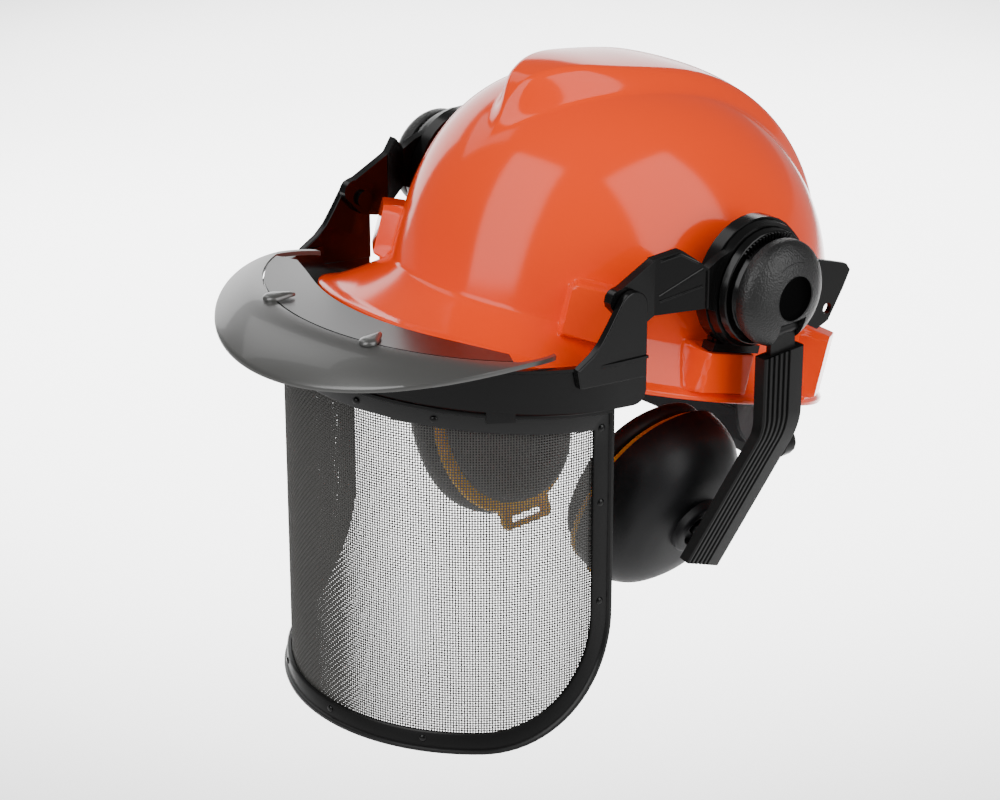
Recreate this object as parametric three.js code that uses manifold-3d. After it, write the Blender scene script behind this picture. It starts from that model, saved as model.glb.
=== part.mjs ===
// Forestry hard hat: shell with harness, hinged mesh face screen and ear muffs on side arms.
// Millimetres, +Z up, -Y is the front, +X is the wearer's left. The origin is the middle of the head
// at the height of the shell's side rim. The hat is in the worn pose, so the shell leans back.

import * as THREE from 'three';
import { mergeVertices } from 'three/addons/utils/BufferGeometryUtils.js';
import Module from 'manifold-3d';

const wasm = await Module();
wasm.setup();

// ---- Driving dimensions ----

const GAP = 0.3;
const SHELL_PITCH = -18;
const CROWN_HALF_WIDTH = 98;
const CROWN_FRONT = 132;
const CROWN_REAR = 121;
const REAR_FALL = 6;
const CROWN_HEIGHT = 138;
const CROWN_BASE = 20;
const SHELL_WALL = 2.6;
const SIDE_RIM = -3;
const REAR_RIM = -11;
const PEAK_RIM = 3;
const SKIRT_FLARE = 7;
const PEAK_DEPTH = 33;
const RIDGE_HEIGHT = 7.5;
const NOSE_HEIGHT = 7;
const NOSE_START = -119;

const PIVOT_Y = -5;
const PIVOT_Z = 62;
const HINGE_Y = -82;
const HINGE_Z = 67;

const SCREEN_RADIUS = 97;
const SCREEN_CENTRE_Y = -89;
const SCREEN_TOP = 17;
const SCREEN_TOP_RISE = 14;
const SCREEN_BOTTOM = -161;
const SCREEN_SWEEP = 90;
const SCREEN_CORNER = 68;
const FRAME_WIDTH = 11;
const FRAME_DEPTH = 4;

const CUP_TILT = 24;
const CUP_CENTRE = new THREE.Vector3(56, -24, -61);
const CUP_HALF_HEIGHT = 52;
const CUP_HALF_WIDTH = 45;
const CUP_DEPTH = 38;
const BOSS_RISE = 7;

// ---- Colours ----

const FINISHES = {
  orange: { color: 0xff5a00, roughness: 0.2, metalness: 0 },
  glossBlack: { color: 0x101010, roughness: 0.2, metalness: 0 },
  satinBlack: { color: 0x1a1a1a, roughness: 0.45, metalness: 0 },
  charcoal: { color: 0x2b2b2d, roughness: 0.6, metalness: 0 },
  amber: { color: 0xe0a020, roughness: 0.4, metalness: 0 },
  cushion: { color: 0x161616, roughness: 0.7, metalness: 0 },
  foam: { color: 0x3a3a3c, roughness: 0.95, metalness: 0 },
  wire: { color: 0x2a2a2a, roughness: 0.5, metalness: 0.6 },
  steel: { color: 0xb0b0b0, roughness: 0.3, metalness: 1 },
  grey: { color: 0x55565a, roughness: 0.5, metalness: 0 },
  webbing: { color: 0x202022, roughness: 0.9, metalness: 0 },
};

// ---- Solids ----

const radians = THREE.MathUtils.degToRad;
const { smoothstep, lerp } = THREE.MathUtils;

function geometryFrom(points, triangles) {
  const geometry = new THREE.BufferGeometry();
  const position = points.flatMap((p) => [p.x, p.y, p.z]);
  geometry.setAttribute('position', new THREE.Float32BufferAttribute(position, 3));
  let volume = 0;
  for (const [a, b, c] of triangles) {
    volume += points[a].dot(points[b].clone().cross(points[c]));
  }
  const facing = volume < 0 ? triangles.map(([a, b, c]) => [a, c, b]) : triangles;
  geometry.setIndex(facing.flat());
  return geometry;
}

// Closed loops of points, each joined to the next, with a fan over the first and the last.
function loft(loops) {
  const count = loops[0].length;
  const points = loops.flat();
  const triangles = [];
  for (let i = 0; i + 1 < loops.length; i++) {
    for (let j = 0; j < count; j++) {
      const k = (j + 1) % count;
      const a = i * count + j;
      const b = i * count + k;
      triangles.push([a, b, b + count], [a, b + count, a + count]);
    }
  }
  for (const [loop, start, turn] of [[loops[0], 0, 1], [loops.at(-1), points.length - count, 0]]) {
    const middle = new THREE.Vector3();
    loop.forEach((p) => middle.addScaledVector(p, 1 / count));
    const centre = points.push(middle) - 1;
    for (let j = 0; j < count; j++) {
      const edge = [start + j, start + ((j + 1) % count)];
      triangles.push(turn ? [edge[1], edge[0], centre] : [edge[0], edge[1], centre]);
    }
  }
  return geometryFrom(points, triangles);
}

// Closed loops of points joined into a ring, the last loop to the first.
function ring(loops) {
  const count = loops[0].length;
  const triangles = [];
  for (let i = 0; i < loops.length; i++) {
    const next = ((i + 1) % loops.length) * count;
    for (let j = 0; j < count; j++) {
      const k = (j + 1) % count;
      triangles.push([i * count + j, i * count + k, next + k], [i * count + j, next + k, next + j]);
    }
  }
  return geometryFrom(loops.flat(), triangles);
}

// A sheet with thickness: outer(u, v) and inner(u, v) are its two faces, u and v from 0 to 1.
function sheet(outer, inner, across, along) {
  const points = [];
  const at = (side, i, j) => side * (across + 1) * (along + 1) + i * (along + 1) + j;
  for (const face of [outer, inner]) {
    for (let i = 0; i <= across; i++) {
      for (let j = 0; j <= along; j++) {
        points.push(face(i / across, j / along));
      }
    }
  }
  const triangles = [];
  const quad = (a, b, c, d) => triangles.push([a, b, c], [a, c, d]);
  for (let i = 0; i < across; i++) {
    for (let j = 0; j < along; j++) {
      quad(at(0, i, j), at(0, i + 1, j), at(0, i + 1, j + 1), at(0, i, j + 1));
      quad(at(1, i, j), at(1, i, j + 1), at(1, i + 1, j + 1), at(1, i + 1, j));
    }
  }
  for (let i = 0; i < across; i++) {
    quad(at(0, i, 0), at(1, i, 0), at(1, i + 1, 0), at(0, i + 1, 0));
    quad(at(0, i, along), at(0, i + 1, along), at(1, i + 1, along), at(1, i, along));
  }
  for (let j = 0; j < along; j++) {
    quad(at(0, 0, j), at(0, 0, j + 1), at(1, 0, j + 1), at(1, 0, j));
    quad(at(0, across, j), at(1, across, j), at(1, across, j + 1), at(0, across, j + 1));
  }
  return geometryFrom(points, triangles);
}

function solid(geometry) {
  const bare = geometry.clone();
  bare.deleteAttribute('normal');
  bare.deleteAttribute('uv');
  const merged = mergeVertices(bare, 1e-4);
  const vertProperties = new Float32Array(merged.attributes.position.array);
  const triVerts = new Uint32Array(merged.index.array);
  return new wasm.Manifold(new wasm.Mesh({ numProp: 3, vertProperties, triVerts }));
}

function geometryOf(body) {
  const { vertProperties, triVerts } = body.getMesh();
  const geometry = new THREE.BufferGeometry();
  geometry.setAttribute('position', new THREE.BufferAttribute(vertProperties, 3));
  geometry.setIndex(new THREE.BufferAttribute(triVerts, 1));
  return geometry;
}

function union(...geometries) {
  return geometryOf(geometries.map(solid).reduce((whole, next) => whole.add(next)));
}

function cut(geometry, ...tools) {
  return geometryOf(tools.map(solid).reduce((whole, tool) => whole.subtract(tool), solid(geometry)));
}

function box(low, high) {
  const size = high.map((value, i) => value - low[i]);
  const middle = high.map((value, i) => (value + low[i]) / 2);
  return new THREE.BoxGeometry(...size).translate(...middle);
}

// A disc or post along X from x0 to x1 about (y, z).
function post(x0, x1, y, z, radius, endRadius = radius, sides = 32) {
  const body = new THREE.CylinderGeometry(endRadius, radius, x1 - x0, sides);
  return body.rotateZ(-Math.PI / 2).translate((x0 + x1) / 2, y, z);
}

// A flat outline in Y and Z, given thickness along X from x0 to x1.
function plate(outline, x0, x1, holes = []) {
  const corners = outline.map(([y, z]) => new THREE.Vector2(y, z));
  const shape = new THREE.Shape(THREE.ShapeUtils.isClockWise(corners) ? corners.reverse() : corners);
  for (const [y, z, radius] of holes) {
    shape.holes.push(new THREE.Path().absarc(y, z, radius, 0, 2 * Math.PI, true));
  }
  const body = new THREE.ExtrudeGeometry(shape, { depth: x1 - x0, bevelEnabled: false, curveSegments: 8 });
  const turn = new THREE.Matrix4().makeBasis(
    new THREE.Vector3(0, 1, 0),
    new THREE.Vector3(0, 0, 1),
    new THREE.Vector3(1, 0, 0),
  );
  return body.applyMatrix4(turn).translate(x0, 0, 0);
}

// Points on an arc about (y, z), angles in degrees from +Y towards +Z.
function arc(y, z, radius, from, to, steps) {
  return Array.from({ length: steps + 1 }, (_, i) => {
    const angle = radians(lerp(from, to, i / steps));
    return [y + radius * Math.cos(angle), z + radius * Math.sin(angle)];
  });
}

function mirrored(geometry) {
  const copy = geometry.clone();
  copy.scale(-1, 1, 1);
  const index = copy.index ? Array.from(copy.index.array) : [...Array(copy.attributes.position.count).keys()];
  for (let i = 0; i < index.length; i += 3) {
    [index[i + 1], index[i + 2]] = [index[i + 2], index[i + 1]];
  }
  copy.setIndex(index);
  copy.deleteAttribute('normal');
  return copy;
}

const object = new THREE.Group();
const hat = new THREE.Group();
hat.rotation.x = radians(SHELL_PITCH);
object.add(hat);

function add(parent, name, geometry, finish) {
  const mesh = new THREE.Mesh(geometry, new THREE.MeshStandardMaterial(FINISHES[finish]));
  mesh.name = name;
  parent.add(mesh);
}

function addPair(parent, name, geometry, finish) {
  add(parent, `${name}_left`, geometry, finish);
  add(parent, `${name}_right`, mirrored(geometry), finish);
}

// ---- Shell, in the hat's own level frame ----

// Angles run from the front (0) to the wearer's left (90) and the rear (180).
function crownRadius(angle) {
  const reach = Math.cos(angle) > 0 ? CROWN_FRONT : CROWN_REAR;
  return 1 / Math.hypot(Math.sin(angle) / CROWN_HALF_WIDTH, Math.cos(angle) / reach);
}

// How far the centre ridge stands up over the plain crown at (x, y).
function ridgeRise(x, y) {
  const behindNose = y - NOSE_START;
  if (behindNose <= 0) {
    return 0;
  }
  const halfWidth = 37 * (1 - Math.exp(-behindNose / 38));
  const inside = smoothstep(halfWidth - Math.abs(x), -2, 13);
  const nose = NOSE_HEIGHT * Math.exp(-(((y - NOSE_START - 30) / 28) ** 2));
  return (RIDGE_HEIGHT + nose) * inside * smoothstep(behindNose, 0, 26);
}

// A point of the crown: rise 0 is its foot, 1 its top. inset moves it inwards.
function crownPoint(angle, rise, inset) {
  const power = 2 / (2.4 + 0.3 * Math.cos(angle));
  const turn = (rise * Math.PI) / 2;
  const spread = (crownRadius(angle) - inset) * Math.cos(turn) ** power;
  const fall = REAR_FALL * smoothstep(-spread * Math.cos(angle), -20, 90);
  const height = CROWN_BASE + (CROWN_HEIGHT - CROWN_BASE - inset - fall) * Math.sin(turn) ** power;
  const p = new THREE.Vector3(spread * Math.sin(angle), -spread * Math.cos(angle), height);
  const outward = p.clone().sub(new THREE.Vector3(0, 0, 20)).normalize();
  return p.addScaledVector(outward, ridgeRise(p.x, p.y) * smoothstep(p.z, 30, 85));
}

// The rim's height and how far it stands out from the crown's foot.
function rim(angle) {
  const off = Math.abs(THREE.MathUtils.euclideanModulo(angle + Math.PI, 2 * Math.PI) - Math.PI);
  const peak = 1 - smoothstep(off, radians(18), radians(62));
  const rear = smoothstep(off, radians(90), radians(160));
  const height = lerp(lerp(SIDE_RIM, REAR_RIM, rear), PEAK_RIM, peak);
  return { height, reach: lerp(SKIRT_FLARE, PEAK_DEPTH, peak) };
}

const AROUND = 48;
const CROWN_ROWS = 9;

function loopOf(pointAt) {
  return Array.from({ length: AROUND }, (_, i) => pointAt((i * 2 * Math.PI) / AROUND));
}

// A point of the skirt, along 0 at the crown's foot to 1 at the rim.
function skirtPoint(angle, along, inset, drop) {
  const { height, reach } = rim(angle);
  const spread = crownRadius(angle) - inset + reach * along ** 1.3;
  const z = lerp(CROWN_BASE, height, along) - drop;
  return new THREE.Vector3(spread * Math.sin(angle), -spread * Math.cos(angle), z);
}

function rimPoint(angle, out, drop) {
  const p = skirtPoint(angle, 1, 0, drop);
  return p.addScaledVector(new THREE.Vector3(Math.sin(angle), -Math.cos(angle), 0), out);
}

function shellWall() {
  const rises = Array.from({ length: CROWN_ROWS }, (_, i) => 0.97 * (1 - i / (CROWN_ROWS - 1)));
  const loops = rises.map((rise) => loopOf((angle) => crownPoint(angle, rise, 0)));
  for (const along of [0.35, 0.7, 0.93]) {
    loops.push(loopOf((angle) => skirtPoint(angle, along, 0, 0)));
  }
  loops.push(loopOf((angle) => rimPoint(angle, 3, 0)));
  loops.push(loopOf((angle) => rimPoint(angle, 3, SHELL_WALL)));
  for (const along of [0.93, 0.5, 0.15]) {
    loops.push(loopOf((angle) => skirtPoint(angle, along, SHELL_WALL, SHELL_WALL)));
  }
  for (const rise of rises.toReversed().filter((_, i) => i % 2 === 0)) {
    loops.push(loopOf((angle) => crownPoint(angle, rise, SHELL_WALL)));
  }
  return loft(loops);
}

// The hollow of the crown, carried down past the rim. It trims the slot blocks.
function crownHollow() {
  const loops = [-30, 10].map((z) =>
    loopOf((angle) => crownPoint(angle, 0, SHELL_WALL - 0.4).setZ(z)));
  for (const rise of [0, 0.2, 0.4, 0.6, 0.8]) {
    loops.push(loopOf((angle) => crownPoint(angle, rise, SHELL_WALL - 0.4)));
  }
  return loft(loops);
}

// A boss on the shell's side. angle places it, width runs round the shell.
function slotBlock({ angle, width, low, high, out }) {
  const turn = radians(angle);
  const radius = crownRadius(turn) + out;
  const half = width / 2;
  const outline = [[-half, low], [half, low], [half, high - 4], [half - 4, high], [4 - half, high], [-half, high - 4]];
  return plate(outline, radius - 22, radius).rotateZ(turn - Math.PI / 2);
}

const SLOT_BLOCKS = {
  front: { angle: 40, width: 32, low: 15, high: 42, out: 13 },
  rear: { angle: 124, width: 24, low: -4, high: 30, out: 11 },
};

const MIDDLE_BLOCK = { out: 109, halfWidth: 18, low: -1, high: 21 };
const SLOT_X = CROWN_HALF_WIDTH + 4;
const SLOT_THICKNESS = 4;
const SLOT_WIDTH = 30;
const SLOT_FLOOR = 4;
const HAT_PIVOT = new THREE.Vector3(0, PIVOT_Y, PIVOT_Z).applyAxisAngle(new THREE.Vector3(1, 0, 0), -hat.rotation.x);

function shell() {
  let body = solid(shellWall());
  const hollow = solid(crownHollow());
  for (const block of Object.values(SLOT_BLOCKS)) {
    const left = slotBlock(block);
    body = body.add(solid(left).subtract(hollow));
    body = body.add(solid(mirrored(left)).subtract(hollow));
  }
  const { out, halfWidth: half, low, high } = MIDDLE_BLOCK;
  for (const side of [1, -1]) {
    const x = [side * 80, side * out].sort((a, b) => a - b);
    const block = box([x[0], HAT_PIVOT.y - half, low], [x[1], HAT_PIVOT.y + half, high]);
    body = body.add(solid(block).subtract(hollow));
  }
  for (const side of [1, -1]) {
    const halfWidth = SLOT_WIDTH / 2;
    const x = [side * SLOT_X, side * (SLOT_X + SLOT_THICKNESS)].sort((a, b) => a - b);
    const slot = box([x[0], HAT_PIVOT.y - halfWidth, SLOT_FLOOR], [x[1], HAT_PIVOT.y + halfWidth, 40]);
    body = body.subtract(solid(slot));
  }
  return geometryOf(body);
}

add(hat, 'shell', shell(), 'orange');

// ---- Slot adaptors, in the hat's frame ----

const BASE_IN = SLOT_X + 1;
const BASE_OUT = 110;
const BASE_RADIUS = 33.5;

function slotAdaptor() {
  const { y, z } = HAT_PIVOT;
  const tongue = box(
    [SLOT_X + GAP, y - SLOT_WIDTH / 2 + GAP, SLOT_FLOOR + GAP],
    [SLOT_X + SLOT_THICKNESS - GAP, y + SLOT_WIDTH / 2 - GAP, z],
  );
  const flange = box([SLOT_X + GAP, y - 17, MIDDLE_BLOCK.high + GAP], [BASE_OUT, y + 17, 25.5]);
  const neck = box([SLOT_X + GAP, y - 14, 25], [BASE_OUT - 2, y + 14, z]);
  const disc = post(BASE_IN, BASE_OUT, y, z, BASE_RADIUS, BASE_RADIUS, 32);
  const tab = plate(
    [[y + 20, z - 13], [y + 62, z - 23], [y + 69, z - 18], [y + 74, z - 1], [y + 76, z + 9], [y + 72, z + 12],
      [y + 20, z + 14]],
    BASE_IN,
    BASE_IN + 3,
    [[y + 66, z - 12, 3]],
  );
  return union(disc, tongue, flange, neck, tab);
}

addPair(hat, 'slot_adaptor', slotAdaptor(), 'glossBlack');

// ---- Visor arms ----

const ARM_IN = BASE_OUT + GAP;
const ARM_WALL = 4.5;
const ARM_OUT = ARM_IN + ARM_WALL;
const ARM_FRONT_IN = 96.4;
const ARM_FRONT_OUT = ARM_FRONT_IN + ARM_WALL;
const ARM_BEND_REAR = -42;
const ARM_BEND_FRONT = -64;
const PIN_RADIUS = 3;
const PIVOT_POST = 10;

// The arm is flat at its hub and at its tip, with a slanting web between that leads inwards.
function visorArm() {
  const hub = post(ARM_IN, ARM_OUT, PIVOT_Y, PIVOT_Z, 32.5, 31.5, 32);
  const neck = plate([[-16, 46], [-16, 88], [-34, 84], [-43, 80], [-43, 60], [-34, 56]], ARM_IN, ARM_OUT);
  const slope = (ARM_IN - ARM_FRONT_IN) / (ARM_BEND_REAR - ARM_BEND_FRONT);
  const lean = new THREE.Matrix4().makeShear(0, 0, slope, 0, 0, 0);
  const webOutline = [
    [ARM_BEND_REAR + 0.6, 60], [ARM_BEND_REAR + 0.6, 80], [-45, 84], [-53, 91], [ARM_BEND_FRONT - 0.6, 87],
    [ARM_BEND_FRONT - 0.6, 58],
  ];
  const web = plate(webOutline, 0, ARM_WALL).applyMatrix4(lean).translate(ARM_IN - slope * ARM_BEND_REAR, 0, 0);
  const tipOutline = [
    [ARM_BEND_FRONT, 58], [ARM_BEND_FRONT, 87], [-86, 78], ...arc(-88, 72.5, 5.5, 90, 210, 4), [-82, 58], [-72, 55],
  ];
  const tip = plate(tipOutline, ARM_FRONT_IN, ARM_FRONT_OUT, [[HINGE_Y, HINGE_Z, PIN_RADIUS + GAP]]);
  const bore = post(ARM_IN - 5, ARM_OUT + 5, PIVOT_Y, PIVOT_Z, PIVOT_POST + GAP);
  return cut(union(hub, neck, web, tip), bore);
}

addPair(object, 'visor_arm', visorArm(), 'glossBlack');

// ---- Carrier: brow hoop with a fin at each side ----

const HOOP_TOP = 41.5;
const HOOP_BOTTOM = 16;
const HOOP_IN = 102.4;
const HOOP_OUT = 105;
const HOOP_END = -72.5;
const FIN_IN = ARM_FRONT_OUT + GAP;
const FIN_OUT = HOOP_OUT;

// A point on the hoop's plan, u from 0 at the wearer's right end to 1 at the left end.
function hoopPlan(u, radius) {
  const straight = HOOP_END - SCREEN_CENTRE_Y;
  const curve = Math.PI * radius;
  const distance = u * (curve + 2 * straight) - straight;
  if (distance < 0) {
    return new THREE.Vector3(-radius, SCREEN_CENTRE_Y - distance, 0);
  }
  if (distance > curve) {
    return new THREE.Vector3(radius, SCREEN_CENTRE_Y + distance - curve, 0);
  }
  const angle = distance / radius - Math.PI / 2;
  return new THREE.Vector3(radius * Math.sin(angle), SCREEN_CENTRE_Y - radius * Math.cos(angle), 0);
}

// The hoop climbs towards the front.
function hoopHeight(y, v) {
  const ahead = HOOP_END - y;
  return lerp(HOOP_BOTTOM + 0.15 * ahead, HOOP_TOP + 0.11 * ahead, v);
}

function carrier() {
  const face = (radius) => (u, v) => {
    const p = hoopPlan(u, radius);
    return p.setZ(hoopHeight(p.y, v));
  };
  const band = sheet(face(HOOP_OUT), face(HOOP_IN), 28, 1);
  const outline = [
    [-116, 36], [-118, 46], [-108, 51], [-100, 58], [-94, 67], ...arc(HINGE_Y, HINGE_Z, 9.5, 140, 0, 6),
    [HOOP_END, 58], [HOOP_END, 30],
  ];
  const fin = plate(outline, FIN_IN, FIN_OUT, [[HINGE_Y, HINGE_Z, PIN_RADIUS + GAP]]);
  return union(band, fin, mirrored(fin));
}

add(object, 'carrier', carrier(), 'glossBlack');

function hingePin() {
  const shank = post(ARM_FRONT_IN - 1.5, FIN_OUT, HINGE_Y, HINGE_Z, PIN_RADIUS, PIN_RADIUS, 14);
  const keeper = post(ARM_FRONT_IN - 2, ARM_FRONT_IN - GAP, HINGE_Y, HINGE_Z, 4.5, 4.5, 14);
  return union(shank, keeper);
}

addPair(object, 'hinge_pin', hingePin(), 'satinBlack');

// ---- Sun peak: a deck over the hoop and a crescent in front of it ----

const PEAK_SWEEP = 72;
const SEAM_RADIUS = 106;
const DECK_RADIUS = 76;
const PEAK_REACH = 43;
const PEAK_ROOT = 95;
const SEAM_HEIGHT = 60;
const WING_DROP = 9;
const PEAK_FALL = 15;
const DECK_THICKNESS = 2.4;

function peakOuter(angle) {
  return PEAK_ROOT + PEAK_REACH * Math.max(0, Math.cos((angle / PEAK_SWEEP) * (Math.PI / 2))) ** 0.85;
}

// A point at an angle in degrees and a radius about the screen's axis.
function aboutScreen(angle, radius, z) {
  const turn = radians(angle);
  return new THREE.Vector3(radius * Math.sin(turn), SCREEN_CENTRE_Y - radius * Math.cos(turn), z);
}

function peakHeight(angle, radius) {
  const seam = SEAM_HEIGHT - WING_DROP * (angle / PEAK_SWEEP) ** 2;
  const beyond = (radius - SEAM_RADIUS) / (PEAK_ROOT + PEAK_REACH - SEAM_RADIUS);
  return beyond > 0 ? seam - PEAK_FALL * beyond ** 2 : seam + 3 * beyond;
}

function deck() {
  const sweep = PEAK_SWEEP - 14;
  const point = (u, v, drop) => {
    const angle = lerp(-sweep, sweep, u);
    const end = 1 - Math.abs(2 * u - 1) ** 8;
    const inner = lerp(94, DECK_RADIUS + 10 * (2 * u - 1) ** 2, end);
    const radius = lerp(inner, Math.min(SEAM_RADIUS, peakOuter(angle) - 3) - 1, v);
    return aboutScreen(angle, radius, peakHeight(angle, radius) - drop);
  };
  return sheet((u, v) => point(u, v, 0), (u, v) => point(u, v, DECK_THICKNESS), 24, 1);
}

function sunPeak() {
  const point = (u, v, drop) => {
    const angle = lerp(-PEAK_SWEEP, PEAK_SWEEP, u);
    const start = Math.min(SEAM_RADIUS, peakOuter(angle) - 3);
    const radius = lerp(start, peakOuter(angle), v);
    return aboutScreen(angle, radius, peakHeight(angle, radius) - drop);
  };
  return sheet((u, v) => point(u, v, 0), (u, v) => point(u, v, DECK_THICKNESS), 28, 3);
}

add(object, 'peak_deck', deck(), 'glossBlack');
add(object, 'sun_peak', sunPeak(), 'glossBlack');

// A teardrop clip that holds the deck and the crescent together at the seam.
function peakClip() {
  const outline = [...arc(-SEAM_RADIUS + SCREEN_CENTRE_Y, 0, 5, 100, 260, 6), [-SEAM_RADIUS + SCREEN_CENTRE_Y + 11, 0]];
  const turn = radians(20);
  return plate(outline, 0, 2.4)
    .rotateY(-Math.PI / 2)
    .translate(0, -SCREEN_CENTRE_Y, 0)
    .rotateZ(turn)
    .translate(0, SCREEN_CENTRE_Y, SEAM_HEIGHT - WING_DROP * (20 / PEAK_SWEEP) ** 2 + GAP + 0.3);
}

addPair(object, 'peak_clip', peakClip(), 'satinBlack');

// ---- Face screen: bent frame with a mesh panel behind it ----

// The screen's upper edge at s round the bend climbs with the hoop.
function screenTop(s) {
  return SCREEN_TOP + SCREEN_TOP_RISE * Math.cos(s / SCREEN_RADIUS);
}

// The screen's outline as it lies flat: s runs round the bend and z up. inset moves it inwards.
function screenOutline(inset) {
  const reach = radians(SCREEN_SWEEP) * SCREEN_RADIUS;
  const side = reach - inset;
  const corner = SCREEN_CORNER - inset;
  const foot = SCREEN_BOTTOM + SCREEN_CORNER;
  const half = [];
  const topSteps = 8;
  for (let i = 0; i < topSteps; i++) {
    const s = (side * i) / topSteps;
    half.push([s, screenTop(s) - inset]);
  }
  for (const part of [0, 0.5, 1]) {
    half.push([side, lerp(screenTop(side) - inset, foot, part)]);
  }
  const cornerSteps = 6;
  for (let i = 1; i <= cornerSteps; i++) {
    const angle = (i / cornerSteps) * (Math.PI / 2);
    half.push([reach - SCREEN_CORNER + corner * Math.cos(angle), foot - corner * Math.sin(angle)]);
  }
  const bottomSteps = 4;
  for (let i = 1; i <= bottomSteps; i++) {
    half.push([(reach - SCREEN_CORNER) * (1 - i / bottomSteps), foot - corner]);
  }
  const other = half.slice(1, -1).toReversed().map(([s, z]) => [-s, z]);
  return [...half, ...other];
}

function onScreen([s, z], radius) {
  const angle = s / SCREEN_RADIUS;
  return new THREE.Vector3(radius * Math.sin(angle), SCREEN_CENTRE_Y - radius * Math.cos(angle), z);
}

function visorFrame() {
  const outer = screenOutline(0);
  const bead = screenOutline(2.5);
  const inner = screenOutline(FRAME_WIDTH);
  const back = SCREEN_RADIUS;
  const loops = outer.map((_, i) => [
    onScreen(outer[i], back),
    onScreen(outer[i], back + FRAME_DEPTH),
    onScreen(bead[i], back + FRAME_DEPTH),
    onScreen(bead[i], back + 2.4),
    onScreen(inner[i], back + 2.4),
    onScreen(inner[i], back),
  ]);
  const tabs = [-55, 0, 55].map((angle) => {
    const height = screenTop(radians(angle) * SCREEN_RADIUS);
    const lug = box([-7, -HOOP_IN + 0.5, height - 4], [7, -SCREEN_RADIUS - 1, height + 9]);
    return lug.rotateZ(radians(angle)).translate(0, SCREEN_CENTRE_Y, 0);
  });
  return union(ring(loops), ...tabs);
}

add(object, 'visor_frame', visorFrame(), 'satinBlack');

function visorMesh() {
  const inset = 5;
  const clearance = 1.2;
  const reach = radians(SCREEN_SWEEP) * SCREEN_RADIUS;
  const corner = SCREEN_CORNER - inset;
  const foot = SCREEN_BOTTOM + SCREEN_CORNER;
  const halfWidth = (z) => {
    const below = Math.max(0, foot - z);
    return reach - SCREEN_CORNER + Math.sqrt(Math.max(0, corner ** 2 - below ** 2));
  };
  const point = (radius) => (u, v) => {
    const low = lerp(SCREEN_BOTTOM + inset, SCREEN_TOP - inset, v ** 1.7);
    const s = lerp(-1, 1, u) * halfWidth(low);
    const rise = (screenTop(s) - SCREEN_TOP) * smoothstep(low, foot, SCREEN_TOP - inset);
    return onScreen([s, low + rise], radius);
  };
  return sheet(point(SCREEN_RADIUS - clearance), point(SCREEN_RADIUS - clearance - 0.5), 20, 6);
}

add(object, 'visor_mesh', visorMesh(), 'wire');

// ---- Ear muffs: pivot, dome cap and arm ----

const RING_IN = ARM_OUT + GAP;
const RING_OUT = RING_IN + 4.2;
const DOME_IN = 123.6;
const DOME_OUT = 138.5;
const DOME_RADIUS = 27;
const RECESS_RADIUS = 11.6;
const SWING_X = 129.5;
const SWING_Z = 44;
const KNUCKLE_RADIUS = 3.5;
const SWING_PIN_RADIUS = 1.5;
const TONGUE_WIDTH = 17;
const TONGUE_THICKNESS = 3;
const TONGUE_FOOT = -5;
const BAND_WIDTH = 28;
const BAND_THICKNESS = 7;
const BAND_TOP = 32;

function muffPivot() {
  const axle = post(BASE_OUT + GAP, RING_IN + 1, PIVOT_Y, PIVOT_Z, PIVOT_POST, PIVOT_POST, 24);
  const disc = post(RING_IN, RING_OUT, PIVOT_Y, PIVOT_Z, 30, 29, 32);
  const step = post(RING_OUT - 1, DOME_IN - GAP, PIVOT_Y, PIVOT_Z, 25, 23.5, 32);
  return union(axle, disc, step);
}

// A post along Y at (x, z).
function crossPost(x, z, radius, halfLength, sides = 14) {
  return new THREE.CylinderGeometry(radius, radius, 2 * halfLength, sides).translate(x, PIVOT_Y, z);
}

function domeCap() {
  const profile = [[0, DOME_IN], [DOME_RADIUS - 1, DOME_IN], [DOME_RADIUS, DOME_IN + 1.5], [DOME_RADIUS, DOME_IN + 4]];
  for (let i = 1; i <= 4; i++) {
    const turn = radians(i * 16);
    profile.push([DOME_RADIUS * Math.cos(turn), DOME_IN + 4 + (DOME_OUT - DOME_IN - 4) * Math.sin(turn) * 1.1]);
  }
  profile.push([RECESS_RADIUS, DOME_OUT], [RECESS_RADIUS - 3, DOME_OUT - 4], [0, DOME_OUT - 5]);
  const points = profile.map(([r, x]) => new THREE.Vector2(r, x));
  const dome = new THREE.LatheGeometry(points, 24).rotateZ(-Math.PI / 2).translate(0, PIVOT_Y, PIVOT_Z);
  const half = TONGUE_WIDTH / 2 + GAP;
  const notch = box([DOME_IN + 2, PIVOT_Y - half, 20], [DOME_OUT + 5, PIVOT_Y + half, SWING_Z + 6]);
  const bore = crossPost(SWING_X, SWING_Z, SWING_PIN_RADIUS + GAP, half + 3 + GAP);
  return cut(dome, notch, bore);
}

addPair(object, 'muff_pivot', muffPivot(), 'glossBlack');
addPair(object, 'dome_cap', domeCap(), 'satinBlack');
addPair(object, 'swing_pin', crossPost(SWING_X, SWING_Z, SWING_PIN_RADIUS, TONGUE_WIDTH / 2 + 3), 'steel');

function armTongue() {
  const halfWidth = TONGUE_WIDTH / 2;
  const low = [SWING_X - TONGUE_THICKNESS / 2, PIVOT_Y - halfWidth, TONGUE_FOOT];
  const strap = box(low, [SWING_X + TONGUE_THICKNESS / 2, PIVOT_Y + halfWidth, SWING_Z]);
  const knuckle = crossPost(SWING_X, SWING_Z, KNUCKLE_RADIUS, halfWidth);
  return cut(union(strap, knuckle), crossPost(SWING_X, SWING_Z, SWING_PIN_RADIUS + GAP, halfWidth + 1));
}

addPair(object, 'arm_tongue', armTongue(), 'satinBlack');

// The band runs straight down and then bends inwards and forwards to the cup.
const BAND_BEND = new THREE.Vector3(SWING_X, PIVOT_Y, -9);
const BAND_END = new THREE.Vector3(110.5, -38, -80);

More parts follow.
